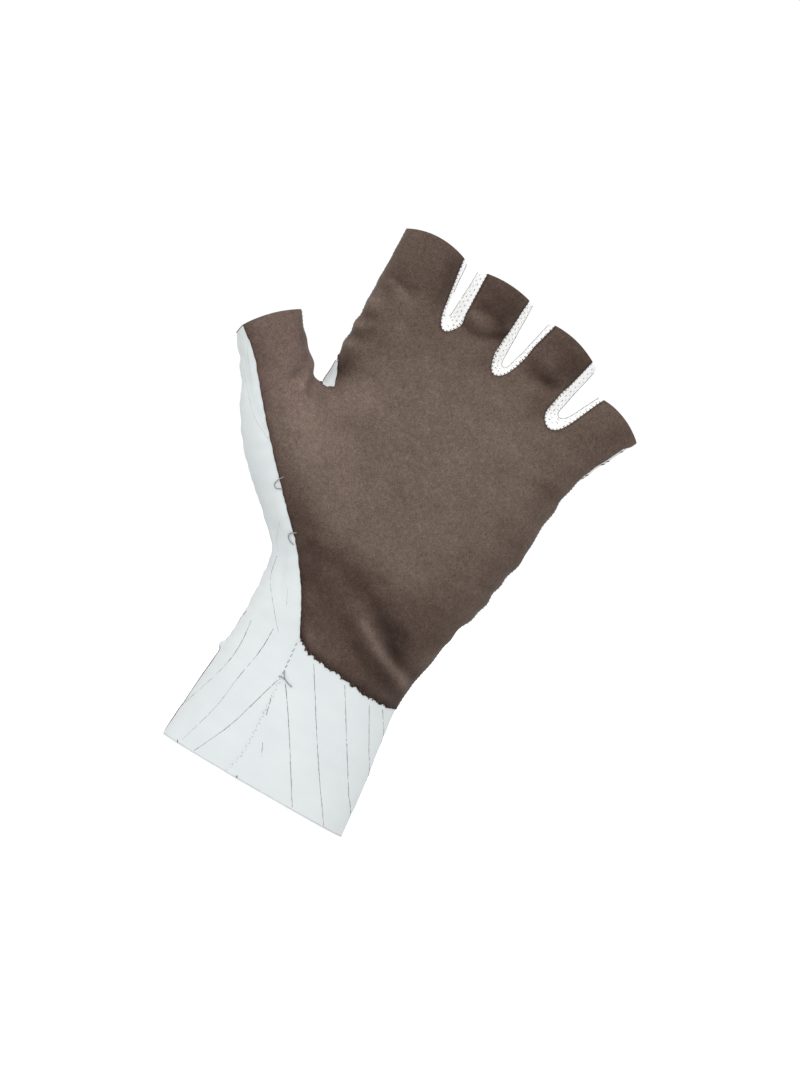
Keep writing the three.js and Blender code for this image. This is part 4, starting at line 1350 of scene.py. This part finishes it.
def suedeMicrofibre(name, colours, useNapAndShade=False):
    # microfibre suede, brushed: its short nap scatters all light, so it is dull, with light and dark specks
    material, tree = newMaterial(name)
    place = addNode(tree, "ShaderNodeNewGeometry")
    # specks: tufts of nap, drawn at three times their real size to show; cloudy marks, where the nap
    # has been brushed one way; and clumps of nap
    specks, cloud, clumps = (
        addNode(tree, "ShaderNodeTexNoise",
                {"Scale": 1 / (size * mm), "Detail": detail, "Roughness": roughness},
                {"Vector": place.outputs["Position"]})
        for size, detail, roughness in ((0.3846, 1.5, 0.65), (5.263, 3.0, 0.55), (1.4286, 2.0, 0.6)))
    coarse = addNode(tree, "ShaderNodeMath", {"operation": "MULTIPLY_ADD", 1: 0.3},
                     {0: cloud.outputs["Fac"], 2: clumps.outputs["Fac"]})
    both = addNode(tree, "ShaderNodeMath", {"operation": "MULTIPLY_ADD", 1: 0.44},
                   {0: coarse.outputs[0], 2: specks.outputs["Fac"]})
    ramp = addNode(tree, "ShaderNodeValToRGB", None, {"Fac": both.outputs[0]})
    setRamp(ramp, colours)
    colour = ramp.outputs["Color"]
    # the palm's colour layer holds the nap marks with painted shade and painted highlights
    if useNapAndShade:
        colour = shadedBy(tree, colour, "napAndShade")
    bump = addNode(tree, "ShaderNodeBump", {"Strength": 0.4, "Distance": 0.15 * mm},
                   {"Height": specks.outputs["Fac"]})
    shader = addNode(tree, "ShaderNodeBsdfPrincipled",
                     {"Roughness": 0.92, "IOR": 1.5, "Specular IOR Level": 0.12, "Sheen Weight": 0.08,
                      "Sheen Roughness": 0.5},
                     {"Base Color": colour, "Normal": bump.outputs["Normal"]})
    addNode(tree, "ShaderNodeOutputMaterial", None, {"Surface": shader.outputs["BSDF"]})
    return material


def whiteKnit(name, colour, pitch, depth, roughness, glow=0.0, useHoleShade=False):
    # knitted polyamide: courses of small loops that are just too fine to see, so it looks smooth and matt
    material, tree = newMaterial(name)
    place = addNode(tree, "ShaderNodeNewGeometry")
    # the loops are pitch mm apart: at scale 1 a wave texture has 20 / (2 pi) bands in each metre
    loops, wales = (
        addNode(tree, "ShaderNodeTexWave",
                {"wave_type": "BANDS", "bands_direction": way, "Scale": 0.314 / (pitch * mm),
                 "Distortion": 0.6, "Detail": 1.0}, {"Vector": place.outputs["Position"]})
        for way in ("Z", "X"))
    knit = addNode(tree, "ShaderNodeMath", {"operation": "MULTIPLY"},
                   {0: loops.outputs["Fac"], 1: wales.outputs["Fac"]})
    bump = addNode(tree, "ShaderNodeBump", {"Strength": depth, "Distance": 0.1 * mm},
                   {"Height": knit.outputs[0]})
    cloud = addNode(tree, "ShaderNodeTexNoise", {"Scale": 1 / (16.667 * mm), "Detail": 3.0},
                    {"Vector": place.outputs["Position"]})
    ramp = addNode(tree, "ShaderNodeValToRGB", None, {"Fac": cloud.outputs["Fac"]})
    setRamp(ramp, ((0.25, colour[0]), (0.75, colour[1])))
    white = ramp.outputs["Color"]
    # painted shade round the mesh's holes
    if useHoleShade:
        white = shadedBy(tree, white, "knit")
    # glow is painted light, an emission where there is no lamp
    shader = addNode(tree, "ShaderNodeBsdfPrincipled",
                     {"Roughness": roughness, "IOR": 1.5, "Specular IOR Level": 0.25, "Sheen Weight": 0.05,
                      "Emission Color": (1, 1, 1, 1), "Emission Strength": glow},
                     {"Base Color": white, "Normal": bump.outputs["Normal"]})
    addNode(tree, "ShaderNodeOutputMaterial", None, {"Surface": shader.outputs["BSDF"]})
    return material


def thread(name, colour, grain=0.4):
    # spun polyester thread: matt, its twist gives fine light and dark bands
    material, tree = newMaterial(name)
    place = addNode(tree, "ShaderNodeNewGeometry")
    twist = addNode(tree, "ShaderNodeTexNoise", {"Scale": 1 / (grain * mm), "Detail": 1.0},
                    {"Vector": place.outputs["Position"]})
    ramp = addNode(tree, "ShaderNodeValToRGB", None, {"Fac": twist.outputs["Fac"]})
    setRamp(ramp, ((0.3, colour[0]), (0.7, colour[1])))
    shader = addNode(tree, "ShaderNodeBsdfPrincipled", {"Roughness": 0.8, "Specular IOR Level": 0.2},
                     {"Base Color": ramp.outputs["Color"]})
    addNode(tree, "ShaderNodeOutputMaterial", None, {"Surface": shader.outputs["BSDF"]})
    return material


suede = suedeMicrofibre("suedeMicrofibre", ((0.5, "#564840"), (0.786, "#6c5d54"), (1.0, "#7f6e63")), True)
suedeThread = suedeMicrofibre("suedeThread", ((0.5, "#463a34"), (0.9, "#64554d")))
suedeFibre = suedeMicrofibre("suedeFibre", ((0.5, "#3a2f2a"), (0.9, "#564841")))
stretchKnit = whiteKnit("elastaneStretchKnit", ("#e2e8e9", "#e8edee"), 0.5, 0.15, 0.6)
# painted light: the thin mesh glows a little, standing in for light that comes through it
meshKnit = whiteKnit("knitMesh", ("#fafbfa", "#fcfdfc"), 0.45, 0.3, 0.75, 0.12, True)

finishes = {
    # piece: the record's slot, material, and the CAD node that it replaces
    "palm": ("suede_microfibre", suede, "palm"),
    "back": ("white_stretch_knit", stretchKnit, "back"),
    "cuffFront": ("white_stretch_knit", stretchKnit, "cuff_front"),
    "meshStripIndexMiddle": ("white_mesh", meshKnit, "mesh_strip_index_middle"),
    "meshStripMiddleRing": ("white_mesh", meshKnit, "mesh_strip_middle_ring"),
    "meshStripRingLittle": ("white_mesh", meshKnit, "mesh_strip_ring_little"),
    "fingerOverlock": ("suede_microfibre", suedeThread),
    "sideOverlock": ("suede_microfibre", suedeThread),
    "palmEdgeFibres": ("suede_microfibre", suedeFibre),
    "meshStripStitches": ("white_mesh", thread("whiteOverlockThread", ("#e3e7e7", "#f1f3f3"))),
    "gapLines": ("white_mesh", thread("gapGreyLine", ("#7e807f", "#bdbfbe"), 1.2)),
    "cuffPinch": ("white_stretch_knit", stretchKnit),
    "cuffPinstripes": ("white_stretch_knit", thread("pinstripeYarn", ("#605c5a", "#b2b2b0"), 1.6)),
    "looseThreads": ("white_stretch_knit", thread("greySewingThread", ("#8b8890", "#a8a6ac"))),
    # the creases' grey is painted shade
    "stripCreases": ("white_stretch_knit", thread("paintedCreaseShade", ("#c6cccd", "#d6dbdc"))),
    "cuffSeamStitches": ("white_stretch_knit", thread("darkSewingThread", ("#85858a", "#bcbec0"), 0.8)),
    "cuffSeamZigzag": ("white_stretch_knit", thread("whiteSewingThread", ("#b9bebf", "#e4e9ea"), 0.9)),
    "cuffHemLine": ("white_stretch_knit", thread("cutKnitEdge", ("#b4b7b7", "#d6dada"), 2.5)),
    # the notch's dark line is painted shade; the others are stripes and the cut hem
    "edgeLines": ("white_stretch_knit", thread("stripeYarnAndEdgeShade", ("#3f3d3d", "#8f8f90"), 2.2)),
}
for name, piece in (panels | threads).items():
    slot, material, *node = finishes[name]
    piece.data.materials.append(material)
    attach(piece, "root")
    if node:
        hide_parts(*node)
print("pieces finished", len(finishes))


# Floor, light and camera

studio = {
    "floorSize": 40.0, "floorHeight": -0.16,  # metres
    "floorGlow": (0.15, 0.7),  # as light on the glove, and how much more the camera sees
    "sky": (0.9, 0.12),        # the same: white behind the glove, softer as light
    "lights": [
        # name, place, size, watts
        ("keyLight", (-0.7, -2.1, 1.0), 0.6, 12), ("backLight", (0.8, 2.2, 1.2), 1.2, 9)],
}


def brightness(tree, asLight, moreSeen):
    seen = addNode(tree, "ShaderNodeLightPath").outputs["Is Camera Ray"]
    both = addNode(tree, "ShaderNodeMath", {"operation": "MULTIPLY_ADD", 1: moreSeen, 2: asLight}, {0: seen})
    return both.outputs[0]


def addFloor():
    mesh = bpy.data.meshes.new("floor")
    size, low = studio["floorSize"], studio["floorHeight"]
    mesh.from_pydata([(-size, -size, low), (size, -size, low), (size, size, low), (-size, size, low)],
                     [], [(0, 1, 2, 3)])
    floor = bpy.data.objects.new("floor", mesh)
    bpy.context.scene.collection.objects.link(floor)
    material, tree = newMaterial("paleFloor")
    shader = addNode(tree, "ShaderNodeBsdfPrincipled",
                     {"Base Color": (0.5, 0.5, 0.5, 1), "Roughness": 0.9,
                      "Emission Color": (1, 1, 1, 1)})
    tree.links.new(brightness(tree, *studio["floorGlow"]), shader.inputs["Emission Strength"])
    addNode(tree, "ShaderNodeOutputMaterial", None, {"Surface": shader.outputs["BSDF"]})
    mesh.materials.append(material)


def addLight(name, place, size, power, aim=(0, 0, 0.1)):
    data = bpy.data.lights.new(name, "AREA")
    data.size = size
    data.energy = power
    light = bpy.data.objects.new(name, data)
    light.location = place
    light.rotation_euler = (Vector(aim) - Vector(place)).to_track_quat("-Z", "Y").to_euler()
    bpy.context.scene.collection.objects.link(light)


addFloor()
world = bpy.data.worlds.new("studio")
world.use_nodes = True
sky = world.node_tree
sky.nodes["Background"].inputs["Color"].default_value = (1, 1, 1, 1)
sky.links.new(brightness(sky, *studio["sky"]), sky.nodes["Background"].inputs["Strength"])
bpy.context.scene.world = world
for light in studio["lights"]:
    addLight(*light)
bpy.context.scene.view_settings.view_transform = "Standard"

view = {
    "centre": (0.0001, 0, 0.1024),  # what the middle of the picture shows
    "distance": 2.6, "height": 0.3731,  # of the picture at the glove, metres
    "turn": 30.1,  # degrees clockwise
    "sensor": 24.0,  # mm
}
camData = bpy.data.cameras.new("camera")
camData.sensor_fit = "VERTICAL"
camData.sensor_height = view["sensor"]
camData.lens = view["sensor"] * view["distance"] / view["height"]
camData.clip_end = 100
camera = bpy.data.objects.new("camera", camData)
aim = Matrix.Rotation(math.radians(90), 4, "X")
roll = Matrix.Rotation(math.radians(view["turn"]), 4, "Z")
eye = Vector(view["centre"]) + Vector((0, -view["distance"], 0))
camera.matrix_world = Matrix.Translation(eye) @ aim @ roll
bpy.context.scene.collection.objects.link(camera)
bpy.context.scene.camera = camera
print("floor, lights and camera placed")
